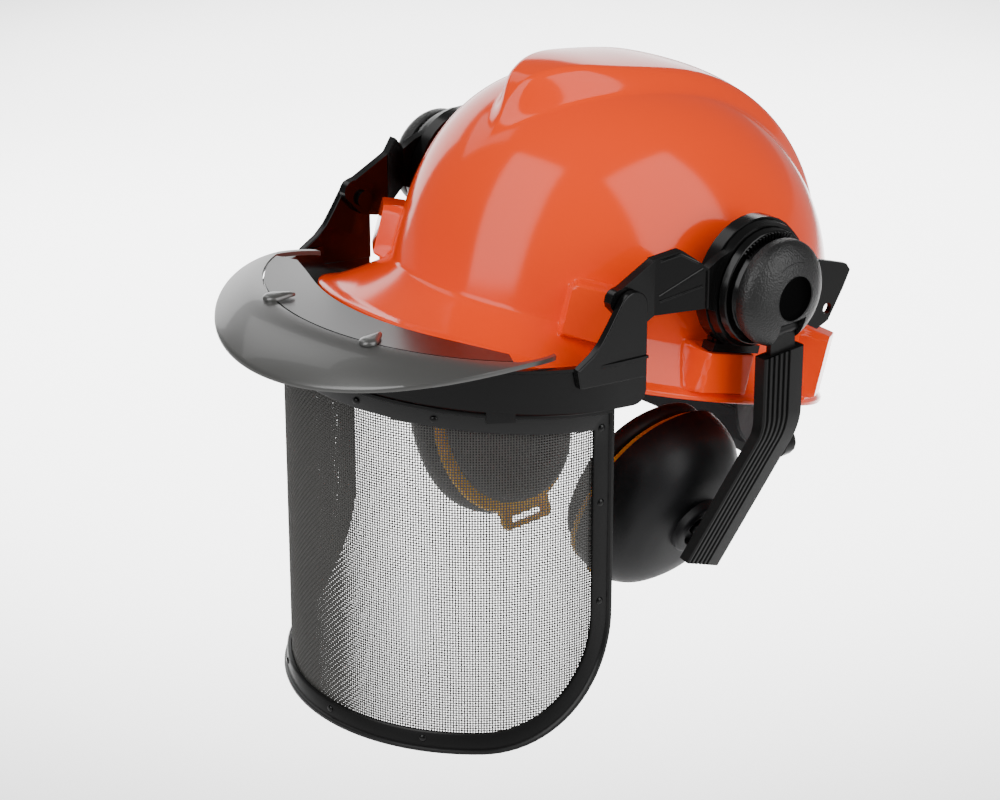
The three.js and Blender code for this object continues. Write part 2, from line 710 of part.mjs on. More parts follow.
function armBand() {
  const top = new THREE.Vector3(SWING_X, PIVOT_Y, BAND_TOP);
  const straight = top.clone().lerp(BAND_BEND, 0.82);
  const beyond = BAND_BEND.clone().lerp(BAND_END, 0.1);
  const curve = new THREE.QuadraticBezierCurve3(straight, BAND_BEND, beyond);
  const route = [top, ...curve.getPoints(5), BAND_END];
  const loops = route.map((p, i) => {
    const before = route[Math.max(0, i - 1)];
    const after = route[Math.min(route.length - 1, i + 1)];
    const along = after.clone().sub(before).normalize();
    const across = new THREE.Vector3(0, 1, 0).addScaledVector(along, -along.y).normalize();
    const out = across.clone().cross(along).negate().normalize();
    const slim = lerp(1, 0.8, i / (route.length - 1));
    const corner = (a, b) => p.clone()
      .addScaledVector(across, (a * BAND_WIDTH) / 2)
      .addScaledVector(out, (b * BAND_THICKNESS * slim) / 2);
    return [corner(-1, -1), corner(1, -1), corner(1, 0.6), corner(0.9, 1), corner(-0.9, 1), corner(-1, 0.6)];
  });
  const halfWidth = TONGUE_WIDTH / 2 + GAP;
  const halfDepth = TONGUE_THICKNESS / 2 + GAP;
  const channel = box(
    [SWING_X - halfDepth, PIVOT_Y - halfWidth, TONGUE_FOOT - 2],
    [SWING_X + halfDepth, PIVOT_Y + halfWidth, BAND_TOP + 5],
  );
  return cut(loft(loops), channel);
}

addPair(object, 'arm_band', armBand(), 'satinBlack');

// ---- Ear cups. Local +X points out of the cup, +Z up along it. ----

function placeCup(geometry) {
  return geometry.rotateY(radians(CUP_TILT)).translate(CUP_CENTRE.x, CUP_CENTRE.y, CUP_CENTRE.z);
}

// The cup's oval at a distance x out, scaled about its middle.
function cupOval(x, scale, count = 40) {
  return Array.from({ length: count }, (_, i) => {
    const angle = (i * 2 * Math.PI) / count;
    const c = Math.cos(angle);
    const s = Math.sin(angle);
    const size = scale / (Math.abs(c) ** 2.3 + Math.abs(s) ** 2.3) ** (1 / 2.3);
    return new THREE.Vector3(x, CUP_HALF_WIDTH * size * c, CUP_HALF_HEIGHT * size * s);
  });
}

function cupShape(levels, count) {
  return loft(levels.map(([x, scale]) => cupOval(x, scale, count)));
}

const PLATE_HALF = 1.8;
const BOSS_RADIUS = 15.5;
const BOSS_OUT = CUP_DEPTH + 4;
const BALL_X = BOSS_OUT - 2;
const BALL_RADIUS = 5;

function cup() {
  const foot = PLATE_HALF + GAP;
  const outside = cupShape([[foot, 0.97], [10, 0.97], [20, 0.93], [28, 0.83], [34, 0.66], [CUP_DEPTH, 0.36]], 28);
  const inside = cupShape([[-5, 0.9], [10, 0.9], [19, 0.86], [26, 0.76], [31, 0.58]], 24);
  const boss = post(CUP_DEPTH - 8, BOSS_OUT, 0, BOSS_RISE, BOSS_RADIUS + 1, BOSS_RADIUS, 24);
  const socket = post(BALL_X - BALL_RADIUS - 1, BOSS_OUT + 5, 0, BOSS_RISE, 9, 11, 20);
  return placeCup(cut(union(outside, boss), inside, socket));
}

function backPlate() {
  const outside = cupShape([[-PLATE_HALF, 1], [PLATE_HALF, 1]], 40);
  const tab = box([-PLATE_HALF, -16, -CUP_HALF_HEIGHT - 8], [PLATE_HALF, 16, -CUP_HALF_HEIGHT + 12]);
  const slot = box([-5, -11, -CUP_HALF_HEIGHT - 4.5], [5, 11, -CUP_HALF_HEIGHT - 1]);
  const hole = cupShape([[-5, 0.72], [5, 0.72]], 24);
  return placeCup(cut(union(outside, tab), slot, hole));
}

const CUSHION_THICKNESS = 13;

function cushion() {
  const back = -PLATE_HALF - GAP;
  const section = [[0, 0.96], [0.5, 1], [0.85, 0.96], [1, 0.84], [1, 0.7], [0.85, 0.58], [0.5, 0.54], [0, 0.56]];
  const ovals = section.map(([depth, scale]) => cupOval(back - depth * CUSHION_THICKNESS, scale, 26));
  const loops = ovals[0].map((_, i) => ovals.map((oval) => oval[i]));
  return placeCup(ring(loops));
}

function cupFoam() {
  return placeCup(cupShape([[12, 0.8], [18, 0.78], [24, 0.68]], 24));
}

function cupSwivel() {
  const ball = new THREE.SphereGeometry(BALL_RADIUS, 12, 8).translate(BALL_X, 0, BOSS_RISE);
  const stem = post(BALL_X, BALL_X + 10, 0, BOSS_RISE, 3.5, 3.5, 12);
  const washer = post(BALL_X + 6, BALL_X + 8, 0, BOSS_RISE, 9, 9, 18);
  return placeCup(union(ball, stem, washer));
}

addPair(object, 'cup', cup(), 'charcoal');
addPair(object, 'back_plate', backPlate(), 'amber');
addPair(object, 'cushion', cushion(), 'cushion');
addPair(object, 'cup_foam', cupFoam(), 'foam');
addPair(object, 'cup_swivel', cupSwivel(), 'satinBlack');

// ---- Harness, in the hat's frame ----

const HEAD_HALF_WIDTH = 78;
const HEAD_HALF_LENGTH = 97;
const BAND_LOW = 6;
const BAND_HIGH = 34;
const HEADBAND_WALL = 1.6;

// A point round the head, angles as on the shell, out measured from the head.
function aroundHead(degrees, out, z) {
  const angle = radians(degrees);
  const spread = 1 / Math.hypot(Math.sin(angle) / HEAD_HALF_WIDTH, Math.cos(angle) / HEAD_HALF_LENGTH) + out;
  return new THREE.Vector3(spread * Math.sin(angle), -spread * Math.cos(angle), z);
}

// A band round the head from one angle to the other.
function headStrip(from, to, out, wall, low, high, steps) {
  const face = (distance) => (u, v) => aroundHead(lerp(from, to, u), distance, lerp(low, high, v));
  return sheet(face(out + wall), face(out), steps, 1);
}

add(hat, 'headband', headStrip(-150, 150, 0, HEADBAND_WALL, BAND_LOW, BAND_HIGH, 32), 'satinBlack');
add(hat, 'sweatband', headStrip(-62, 62, -3.9, 3, BAND_LOW + 1, BAND_HIGH - 2, 18), 'cushion');

const HANGER_ANGLES = { front: 38, rear: 142 };
const HANGER_HALF_WIDTH = 9;
const HANGER_HEIGHT = 29;

function hanger(degrees) {
  const turn = radians(degrees);
  const start = aroundHead(degrees, HEADBAND_WALL + 3, 0).length();
  const end = crownRadius(turn) - SHELL_WALL - 4;
  const outline = [
    [-HANGER_HALF_WIDTH, HANGER_HEIGHT],
    [HANGER_HALF_WIDTH, HANGER_HEIGHT],
    [HANGER_HALF_WIDTH - 3, HANGER_HEIGHT + 16],
    [3 - HANGER_HALF_WIDTH, HANGER_HEIGHT + 16],
  ];
  const upright = plate(outline, start, start + 2.4);
  const arm = box([start, -5, HANGER_HEIGHT], [end, 5, HANGER_HEIGHT + 3]);
  return union(upright, arm).rotateZ(turn - Math.PI / 2);
}

for (const [place, degrees] of Object.entries(HANGER_ANGLES)) {
  addPair(hat, `hanger_${place}`, hanger(degrees), 'grey');
}

// A strap over the head from one hanger to the opposite one, through the crown's middle.
function crownStrap(front, drop, side) {
  const rear = HANGER_ANGLES.rear;
  const start = aroundHead(side * front, 0.2, HANGER_HEIGHT + 8);
  const end = aroundHead(-side * rear, 0.2, HANGER_HEIGHT + 8);
  const top = 112 - drop;
  const along = end.clone().sub(start).setZ(0).normalize();
  const across = new THREE.Vector3(-along.y, along.x, 0);
  const face = (lift) => (u, v) => {
    const p = start.clone().lerp(end, u);
    const arch = Math.sin(Math.PI * u) ** 0.62;
    p.z = start.z + (top - start.z) * arch + lift * arch;
    p.addScaledVector(along, (lift * (u < 0.5 ? -1 : 1)) * (1 - arch));
    return p.addScaledVector(across, lerp(-10, 10, v));
  };
  return sheet(face(0), face(-1.2), 20, 1);
}

add(hat, 'crown_strap_a', crownStrap(HANGER_ANGLES.front, 0, 1), 'webbing');
add(hat, 'crown_strap_b', crownStrap(HANGER_ANGLES.front, 2.4, -1), 'webbing');

// ---- Nape strap and ratchet ----

const NAPE_ROUTE = [[82, 16, 8], [79, 23, -14], [68, 36, -38], [52, 64, -62], [28, 96, -83], [0, 108, -90]];
const NAPE_HALF_HEIGHT = 9;
const NAPE_WALL = 1.8;
const KNOB_RADIUS = 13;

function napeCurve() {
  const left = NAPE_ROUTE.map(([x, y, z]) => new THREE.Vector3(x, y, z));
  const right = left.slice(0, -1).toReversed().map((p) => new THREE.Vector3(-p.x, p.y, p.z));
  return new THREE.CatmullRomCurve3([...left, ...right], false, 'centripetal');
}

function napeStrap() {
  const curve = napeCurve();
  const face = (out) => (u, v) => {
    const p = curve.getPoint(u);
    const along = curve.getTangent(u);
    const outward = new THREE.Vector3(p.x, p.y - 10, 0).normalize();
    const up = outward.clone().cross(along).normalize();
    const side = along.clone().cross(up).normalize();
    return p.addScaledVector(up, lerp(-1, 1, v) * NAPE_HALF_HEIGHT).addScaledVector(side, out);
  };
  return sheet(face(0), face(NAPE_WALL), 28, 1);
}

add(object, 'nape_strap', napeStrap(), 'satinBlack');

const HOUSING_Y = 111;
const HOUSING_Z = -92;

// An upright rounded block on the back of the nape strap, its axle along Y.
function ratchetHousing() {
  const shape = new THREE.Shape();
  shape.absellipse(0, 0, 30, 15, 0, 2 * Math.PI, false);
  const block = new THREE.ExtrudeGeometry(shape, { depth: 8, bevelEnabled: false, curveSegments: 12 });
  block.rotateX(Math.PI / 2).translate(0, HOUSING_Y + 8, HOUSING_Z);
  return block;
}

function ratchetKnob() {
  const shape = new THREE.Shape();
  const flutes = 12;
  for (let i = 0; i < flutes * 3; i++) {
    const angle = (i * 2 * Math.PI) / (flutes * 3);
    const radius = KNOB_RADIUS - (i % 3 === 0 ? 1.2 : 0);
    const corner = [radius * Math.cos(angle), radius * Math.sin(angle)];
    i ? shape.lineTo(...corner) : shape.moveTo(...corner);
  }
  const knob = new THREE.ExtrudeGeometry(shape, { depth: 10, bevelEnabled: false });
  return knob.rotateX(Math.PI / 2).translate(0, HOUSING_Y + 8 + GAP + 10, HOUSING_Z);
}

add(object, 'ratchet_housing', ratchetHousing(), 'satinBlack');
add(object, 'ratchet_knob', ratchetKnob(), 'satinBlack');

export default object;
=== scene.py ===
import math

import bmesh
import bpy
import numpy as np
from mathutils import Matrix, Vector


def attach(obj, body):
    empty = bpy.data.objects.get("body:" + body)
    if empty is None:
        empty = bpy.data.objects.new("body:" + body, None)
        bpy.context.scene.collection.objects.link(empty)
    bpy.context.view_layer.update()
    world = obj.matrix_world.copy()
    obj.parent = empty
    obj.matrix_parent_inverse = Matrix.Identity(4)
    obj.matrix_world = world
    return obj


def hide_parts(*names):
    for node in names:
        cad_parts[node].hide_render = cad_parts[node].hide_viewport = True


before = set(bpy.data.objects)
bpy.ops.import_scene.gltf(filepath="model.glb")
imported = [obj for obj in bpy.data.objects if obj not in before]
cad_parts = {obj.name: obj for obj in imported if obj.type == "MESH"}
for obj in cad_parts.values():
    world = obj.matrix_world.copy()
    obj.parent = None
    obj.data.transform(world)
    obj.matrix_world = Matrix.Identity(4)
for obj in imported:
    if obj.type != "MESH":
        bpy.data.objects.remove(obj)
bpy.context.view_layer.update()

MM = 0.001
FINE = 2

# ---- Sizes shared with the solid model, in millimetres ----

SHELL_PITCH = math.radians(-18)
CROWN_HALF_WIDTH = 98
CROWN_FRONT = 132
CROWN_REAR = 121
REAR_FALL = 6
CROWN_HEIGHT = 138
CROWN_BASE = 20
SHELL_WALL = 2.6
SIDE_RIM = -3
REAR_RIM = -11
PEAK_RIM = 3
SKIRT_FLARE = 7
PEAK_DEPTH = 33
RIDGE_HEIGHT = 7.5
NOSE_HEIGHT = 7
NOSE_START = -119
PIVOT_Y = -5
PIVOT_Z = 62
HINGE_Y = -82
HINGE_Z = 67
SCREEN_RADIUS = 97
SCREEN_CENTRE_Y = -89
SCREEN_TOP = 17
SCREEN_TOP_RISE = 14
SCREEN_BOTTOM = -161
SCREEN_CORNER = 68
FRAME_WIDTH = 11
FRAME_DEPTH = 4
CUP_TILT = math.radians(24)
CUP_CENTRE = (56, -24, -61)
CUP_HALF_HEIGHT = 52
CUP_HALF_WIDTH = 45
CUP_DEPTH = 38
BOSS_RISE = 7
BOSS_OUT = CUP_DEPTH + 4
BALL_X = BOSS_OUT - 2

# ---- Materials ----


def finish_of(name, colour, roughness, metallic=0.0, coat=0.0, specular=0.5):
    material = bpy.data.materials.new(name)
    material.use_nodes = True
    shader = material.node_tree.nodes["Principled BSDF"]
    shader.inputs["Base Color"].default_value = (*colour, 1)
    shader.inputs["Roughness"].default_value = roughness
    shader.inputs["Metallic"].default_value = metallic
    shader.inputs["Coat Weight"].default_value = coat
    shader.inputs["Coat Roughness"].default_value = 0.05
    shader.inputs["Specular IOR Level"].default_value = specular
    return material


def add_grain(material, scale, strength, distance=0.0003, texture="ShaderNodeTexNoise"):
    """A fine surface relief on the material, in the object's own coordinates."""
    tree = material.node_tree
    coordinates = tree.nodes.new("ShaderNodeTexCoord")
    grain = tree.nodes.new(texture)
    bump = tree.nodes.new("ShaderNodeBump")
    grain.inputs["Scale"].default_value = scale
    bump.inputs["Strength"].default_value = strength
    bump.inputs["Distance"].default_value = distance
    tree.links.new(coordinates.outputs["Object"], grain.inputs["Vector"])
    output = grain.outputs["Distance"] if texture == "ShaderNodeTexVoronoi" else grain.outputs[0]
    tree.links.new(output, bump.inputs["Height"])
    tree.links.new(bump.outputs["Normal"], tree.nodes["Principled BSDF"].inputs["Normal"])
    return material


orange = finish_of("orange_abs", (1.0, 0.058, 0.0), 0.13, specular=0.34)
gloss_black = add_grain(finish_of("gloss_black", (0.003, 0.003, 0.003), 0.2, specular=0.3), 300, 0.02)
# The sun peak's base colour is lifted from black to a dark grey: painted reflection, standing in for the
# sheen of the bright room on the glossy black peak.
peak_black_painted_reflection = finish_of("peak_black_painted_reflection", (0.05, 0.05, 0.047), 0.34, coat=0.3, specular=1.0)
satin_black = add_grain(finish_of("satin_black", (0.004, 0.004, 0.004), 0.34, specular=0.3), 900, 0.08)
pebbled_black = add_grain(
    finish_of("pebbled_black", (0.008, 0.008, 0.008), 0.4, specular=0.5),
    1050, 0.5, 0.0005, "ShaderNodeTexVoronoi",
)
# A darker black with almost no reflection for the dome's recess: painted shade in the hollow.
recess_black_painted_shade = finish_of("recess_black_painted_shade", (0.001, 0.001, 0.001), 0.8, specular=0.05)
charcoal = add_grain(finish_of("charcoal_cup", (0.008, 0.008, 0.009), 0.45, specular=0.3), 1400, 0.12)
deck_black = finish_of("deck_black", (0.012, 0.012, 0.012), 0.3, specular=0.45)
amber = finish_of("amber_plate", (1.0, 0.52, 0.02), 0.35, specular=0.3)
cushion_skin = add_grain(finish_of("cushion_skin", (0.012, 0.012, 0.012), 0.55), 500, 0.3, 0.0004)
foam = add_grain(finish_of("foam", (0.05, 0.05, 0.052), 0.95), 420, 0.8, 0.0008)
wire = finish_of("black_wire", (0.06, 0.058, 0.054), 0.5, specular=0.8)
steel = finish_of("steel", (0.55, 0.55, 0.56), 0.3, metallic=1.0)
grey_plastic = add_grain(finish_of("grey_plastic", (0.06, 0.06, 0.065), 0.5), 900, 0.1)
webbing = add_grain(finish_of("webbing", (0.015, 0.015, 0.017), 0.9), 1500, 0.9, 0.0005)

# ---- Shapes: arrays of points in millimetres ----


def smooth(x, low, high):
    t = np.clip((x - low) / (high - low), 0, 1)
    return t * t * (3 - 2 * t)


def mix(a, b, t):
    return a + (b - a) * t


def from_hat(points):
    """Points of the hat's own level frame, leant back into the worn pose."""
    c, s = math.cos(SHELL_PITCH), math.sin(SHELL_PITCH)
    x, y, z = points[..., 0], points[..., 1], points[..., 2]
    return np.stack([x, c * y - s * z, s * y + c * z], -1)


def lattice(rows, columns, closed, offset=0):
    """Quads over a rows by columns array of points; closed joins the last column to the first."""
    last = columns if closed else columns - 1
    i, j = np.meshgrid(np.arange(rows - 1), np.arange(last), indexing="ij")
    k = (j + 1) % columns
    quads = [i * columns + j, i * columns + k, (i + 1) * columns + k, (i + 1) * columns + j]
    return (np.stack(quads, -1).reshape(-1, 4) + offset).tolist()


def loft(loops):
    """A closed body through an array of loops, with a fan over each end."""
    rows, columns, _ = loops.shape
    points = np.concatenate([loops.reshape(-1, 3), loops[:1].mean(1), loops[-1:].mean(1)])
    faces = lattice(rows, columns, True)
    first, last = rows * columns, rows * columns + 1
    for j in range(columns):
        k = (j + 1) % columns
        faces.append([first, k, j])
        faces.append([last, (rows - 1) * columns + j, (rows - 1) * columns + k])
    return points, faces


def ring(loops):
    """A closed body whose last loop joins its first."""
    rows, columns, _ = loops.shape
    i, j = np.meshgrid(np.arange(rows), np.arange(columns), indexing="ij")
    n, k = (i + 1) % rows, (j + 1) % columns
    quads = [i * columns + j, i * columns + k, n * columns + k, n * columns + j]
    return loops.reshape(-1, 3), np.stack(quads, -1).reshape(-1, 4).tolist()


def slab(point, across, along, edge=0.5):
    """A sheet with a rounded edge. point(u, v, side) gives its faces, side 1 outside and 0 inside."""
    u = np.linspace(0, 1, across + 1)
    v = np.linspace(0, 1, along + 1)
    loops = []
    turn = np.linspace(0, math.pi, 5)
    for value in v:
        loops.append(point(u, np.full_like(u, value), 1.0))
    for t in turn[1:-1]:
        loops.append(point(u, np.full_like(u, 1 + edge * 0.01 * math.sin(t)), (1 + math.cos(t)) / 2))
    for value in v[::-1]:
        loops.append(point(u, np.full_like(u, value), 0.0))
    for t in turn[1:-1]:
        loops.append(point(u, np.full_like(u, -edge * 0.01 * math.sin(t)), (1 - math.cos(t)) / 2))
    grid = np.array(loops)
    rows, columns, _ = grid.shape
    faces = []
    for i in range(rows):
        n = (i + 1) % rows
        for j in range(columns - 1):
            faces.append([i * columns + j, i * columns + j + 1, n * columns + j + 1, n * columns + j])
    faces.append([i * columns for i in range(rows)])
    faces.append([i * columns + columns - 1 for i in range(rows)][::-1])
    return grid.reshape(-1, 3), faces


def lathe(profile, centre, segments=96):
    """A closed body turned about an X axis through centre; profile runs (radius, x) from axis to axis."""
    angle = np.linspace(0, 2 * math.pi, segments, endpoint=False)
    loops = [
        np.stack([np.full_like(angle, x), r * np.cos(angle), r * np.sin(angle)], -1) for r, x in profile
    ]
    points, faces = loft(np.array(loops))
    return points + np.array(centre), faces


def extruded(outline, x0, x1):
    """A flat outline in Y and Z, given thickness along X."""
    n = len(outline)
    points = [(x0, y, z) for y, z in outline] + [(x1, y, z) for y, z in outline]
    faces = [[i, (i + 1) % n, n + (i + 1) % n, n + i] for i in range(n)]
    faces += [list(range(n))[::-1], [n + i for i in range(n)]]
    return np.array(points, float), faces


def arc(y, z, radius, start, end, steps):
    angles = np.radians(np.linspace(start, end, steps + 1))
    return [(y + radius * math.cos(a), z + radius * math.sin(a)) for a in angles]


def joined(*shapes):
    points, faces, offset = [], [], 0
    for p, f in shapes:
        points.append(np.asarray(p, float))
        faces += [[i + offset for i in face] for face in f]
        offset += len(p)
    return np.concatenate(points), faces


def mirrored(shape):
    points, faces = shape
    return np.asarray(points) * np.array([-1, 1, 1]), [face[::-1] for face in faces]


# ---- Pieces ----


def shade_smooth(mesh, sharp=None):
    """Smooth shading, with the edges over sharp degrees kept crisp where it is given."""
    mesh.polygons.foreach_set("use_smooth", [True] * len(mesh.polygons))
    if sharp:
        mesh.set_sharp_from_angle(angle=math.radians(sharp))


def piece(name, shape, material, body, slot, replaces=(), sharp=32, bevel=0.0, segments=3):
    points, faces = shape
    mesh = bpy.data.meshes.new(name)
    mesh.from_pydata((np.asarray(points) * MM).tolist(), [], faces)
    edit = bmesh.new()
    edit.from_mesh(mesh)
    bmesh.ops.recalc_face_normals(edit, faces=edit.faces)
    edit.to_mesh(mesh)
    edit.free()
    obj = bpy.data.objects.new(name, mesh)
    bpy.context.scene.collection.objects.link(obj)
    mesh.materials.append(material)
    shade_smooth(mesh, None if bevel else sharp)
    if bevel:
        rounded(obj, bevel, segments)
    if body:
        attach(obj, body)
    if replaces:
        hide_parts(*replaces)
    return obj


def rounded(obj, width, segments=3):
    bevel = obj.modifiers.new("round", "BEVEL")
    bevel.width = width * MM
    bevel.segments = segments
    bevel.limit_method = "ANGLE"
    bevel.angle_limit = math.radians(32)
    bevel.harden_normals = True
    return bevel


def pair(name, shape, material, body, slot, node=None, **options):
    """The same piece at the wearer's left and, mirrored, at the right. {} in body takes the side."""
    made = []
    for side, form in (("left", shape), ("right", mirrored(shape))):
        replaces = [f"{node}_{side}"] if node else []
        made.append(
            piece(f"{name}_{side}", form, material, body.format(side), slot, replaces, **options)
        )
    return made


def apply_modifiers(obj):
    evaluated = obj.evaluated_get(bpy.context.evaluated_depsgraph_get())
    mesh = bpy.data.meshes.new_from_object(evaluated)
    obj.modifiers.clear()
    obj.data = mesh


def carve_pair(objects, cutter, sharp):
    """Takes the cutter's volume out of the left piece, and its mirror image out of the right one."""
    for obj, shape in zip(objects, (cutter, mirrored(cutter))):
        tool = piece("cutter", shape, satin_black, None, None)
        modifier = obj.modifiers.new("carve", "BOOLEAN")
        modifier.operation = "DIFFERENCE"
        modifier.solver = "EXACT"
        modifier.object = tool
        bpy.context.view_layer.update()
        apply_modifiers(obj)
        bpy.data.objects.remove(tool)
        shade_smooth(obj.data, sharp)


def block(low, high):
    x0, y0, z0 = low
    x1, y1, z1 = high
    return extruded([(y0, z0), (y1, z0), (y1, z1), (y0, z1)], x0, x1)


# ---- Shell ----


def crown_radius(angle):
    reach = np.where(np.cos(angle) > 0, CROWN_FRONT, CROWN_REAR)
    return 1 / np.hypot(np.sin(angle) / CROWN_HALF_WIDTH, np.cos(angle) / reach)


def ridge_rise(x, y):
    behind = np.maximum(y - NOSE_START, 0)
    half_width = 37 * (1 - np.exp(-behind / 38))
    inside = smooth(half_width - np.abs(x), -2, 13)
    nose = NOSE_HEIGHT * np.exp(-(((y - NOSE_START - 30) / 28) ** 2))
    return (RIDGE_HEIGHT + nose) * inside * smooth(behind, 0, 26)


def crown_point(angle, rise, inset):
    power = 2 / (2.4 + 0.3 * np.cos(angle))
    turn = rise * math.pi / 2
    spread = (crown_radius(angle) - inset) * np.cos(turn) ** power
    fall = REAR_FALL * smooth(-spread * np.cos(angle), -20, 90)
    height = CROWN_BASE + (CROWN_HEIGHT - CROWN_BASE - inset - fall) * np.sin(turn) ** power
    p = np.stack([spread * np.sin(angle), -spread * np.cos(angle), height], -1)
    outward = p - np.array([0, 0, 20])
    outward /= np.linalg.norm(outward, axis=-1, keepdims=True)
    lift = ridge_rise(p[:, 0], p[:, 1]) * smooth(p[:, 2], 30, 85)
    return p + outward * lift[:, None]


def rim(angle):
    off = np.abs((angle + math.pi) % (2 * math.pi) - math.pi)
    peak = 1 - smooth(off, math.radians(18), math.radians(62))
    rear = smooth(off, math.radians(90), math.radians(160))
    height = mix(mix(SIDE_RIM, REAR_RIM, rear), PEAK_RIM, peak)
    return height, mix(SKIRT_FLARE, PEAK_DEPTH, peak)


def skirt_point(angle, along, inset, drop, out=0.0):
    height, reach = rim(angle)
    spread = crown_radius(angle) - inset + reach * along**1.3 + out
    z = mix(CROWN_BASE, height, along) - drop
    return np.stack([spread * np.sin(angle), -spread * np.cos(angle), z], -1)


# Each moulded block: its direction in degrees, half width, lowest and highest point and outer face.
SIDE_BLOCKS = [
    (40, 16, 15, 42, 114.3 + 13),
    (124, 12, -4, 30, 104.3 + 11),
]
MIDDLE_BLOCK = (18, -1, 21, 109)
HAT_PIVOT_Y = PIVOT_Y * math.cos(SHELL_PITCH) + PIVOT_Z * math.sin(SHELL_PITCH)


# Half the width of the rounded edge round a block's face, and of the middle block's softer flanks.
BLOCK_EDGE = 1.1
BLOCK_FLANK = 2.4


def with_blocks(p):
    """Pushes the outer wall out to the faces of the moulded blocks."""
    edge = BLOCK_EDGE
    for degrees, half, low, high, face in SIDE_BLOCKS:
        for side in (1, -1):
            turn = math.radians(degrees) * side
            n = np.array([math.sin(turn), -math.cos(turn), 0])
            t = np.array([math.cos(turn), math.sin(turn), 0])
            across, out, z = p @ t, p @ n, p[:, 2]
            narrow = 2.5 * smooth(z, high - 4, high)
            mask = smooth(half - narrow - np.abs(across), -edge, edge)
            mask *= smooth(z, low - edge, low + edge) * smooth(high - z, -edge, edge) * (out > 0)
            p = p + n * (np.maximum(face - out, 0) * mask)[:, None]
    half, low, high, face = MIDDLE_BLOCK
    mask = smooth(half - np.abs(p[:, 1] - HAT_PIVOT_Y), -BLOCK_FLANK, BLOCK_FLANK)
    mask *= smooth(p[:, 2], low - edge, low + edge) * smooth(high - p[:, 2], -edge, edge)
    push = np.maximum(face - np.abs(p[:, 0]), 0) * mask * np.sign(p[:, 0])
    return p + np.stack([push, 0 * push, 0 * push], -1)


def shell_shape():
    angle = np.linspace(0, 2 * math.pi, 360 * FINE, endpoint=False)
    low_rises = np.linspace(0, 0.1, 22 * FINE, endpoint=False)
    rises = np.concatenate([low_rises, np.linspace(0.1, 0.998, 60 * FINE)])
    loops = [with_blocks(crown_point(angle, rise, 0)) for rise in rises[::-1]]
    for along in np.linspace(0, 1, 16 * FINE)[1:]:
        lip = 3 * smooth(along, 0.9, 1)
        loops.append(with_blocks(skirt_point(angle, along, 0, 0, lip)))
    for t in np.linspace(0, math.pi, 6)[1:-1]:
        swell = 3 + 0.5 * math.sin(t)
        loops.append(skirt_point(angle, 1, 0, SHELL_WALL * (1 - math.cos(t)) / 2, swell))
    loops.append(skirt_point(angle, 1, 0, SHELL_WALL, 3))
    for along in np.linspace(0.98, 0.02, 10):
        loops.append(skirt_point(angle, along, SHELL_WALL, SHELL_WALL))
    for rise in np.linspace(0.02, 0.998, 40):
        loops.append(crown_point(angle, rise, SHELL_WALL))
    points, faces = loft(np.array(loops))
    return from_hat(points), faces


piece("shell_moulding", shell_shape(), orange, "hat", "shell_orange", ["shell"], sharp=50)

# ---- Sun peak, deck and clips ----

PEAK_SWEEP = 72
SEAM_RADIUS = 106
DECK_RADIUS = 76
PEAK_REACH = 43
PEAK_ROOT = 95
SEAM_HEIGHT = 60
WING_DROP = 9
PEAK_FALL = 15
DECK_THICKNESS = 2.4


def peak_outer(angle):
    return PEAK_ROOT + PEAK_REACH * np.maximum(0, np.cos(angle / PEAK_SWEEP * math.pi / 2)) ** 0.85


def about_screen(angle, radius, z):
    turn = np.radians(angle)
    return np.stack([radius * np.sin(turn), SCREEN_CENTRE_Y - radius * np.cos(turn), z], -1)


def peak_height(angle, radius):
    seam = SEAM_HEIGHT - WING_DROP * (angle / PEAK_SWEEP) ** 2
    beyond = (radius - SEAM_RADIUS) / (PEAK_ROOT + PEAK_REACH - SEAM_RADIUS)
    fall = np.where(beyond > 0, PEAK_FALL * np.abs(beyond) ** 2, -3 * beyond)
    return seam - fall


def peak_point(u, v, side):
    angle = mix(-PEAK_SWEEP, PEAK_SWEEP, u)
    start = np.minimum(SEAM_RADIUS, peak_outer(angle) - 3)
    radius = mix(start, peak_outer(angle), v)
    return about_screen(angle, radius, peak_height(angle, radius) - DECK_THICKNESS * (1 - side))


def deck_point(u, v, side):
    sweep = PEAK_SWEEP - 14
    angle = mix(-sweep, sweep, u)
    end = 1 - np.abs(2 * u - 1) ** 8
    outer = np.minimum(SEAM_RADIUS, peak_outer(angle) - 3) - 1
    inner = mix(94, DECK_RADIUS + 10 * (2 * u - 1) ** 2, end)
    radius = mix(inner, outer, v)
    return about_screen(angle, radius, peak_height(angle, radius) - DECK_THICKNESS * (1 - side))


crescent = slab(peak_point, 120 * FINE, 16 * FINE, 1.5)
piece("peak_crescent", crescent, peak_black_painted_reflection, "visor", "gloss_black", ["sun_peak"])
inner_deck = slab(deck_point, 120 * FINE, 8 * FINE)
piece("peak_inner_deck", inner_deck, deck_black, "visor", "gloss_black", ["peak_deck"])


CLIP_ANGLE = 20


def clip_shape():
    """A low domed drop lying across the seam."""
    angle = np.linspace(0, 2 * math.pi, 48, endpoint=False)
    tail = 1 + 1.3 * np.maximum(0, np.cos(angle)) ** 3
    loops = []
    for scale, z in [(1.0, 0.0), (1.0, 0.8), (0.94, 1.5), (0.78, 2.1), (0.5, 2.4), (0.2, 2.5)]:
        across, along = 4.6 * scale * np.sin(angle), 5 * scale * tail * np.cos(angle)
        loops.append(np.stack([across, along, np.full_like(angle, z)], -1))
    points, faces = loft(np.array(loops))
    turn = math.radians(CLIP_ANGLE)
    c, s = math.cos(turn), math.sin(turn)
    x, y = points[:, 0], points[:, 1] - SEAM_RADIUS
    height = SEAM_HEIGHT - WING_DROP * (CLIP_ANGLE / PEAK_SWEEP) ** 2 + 0.1
    return np.stack([x * c - y * s, x * s + y * c + SCREEN_CENTRE_Y, points[:, 2] + height], -1), faces


pair("seam_clip", clip_shape(), peak_black_painted_reflection, "visor", "satin_black", "peak_clip")

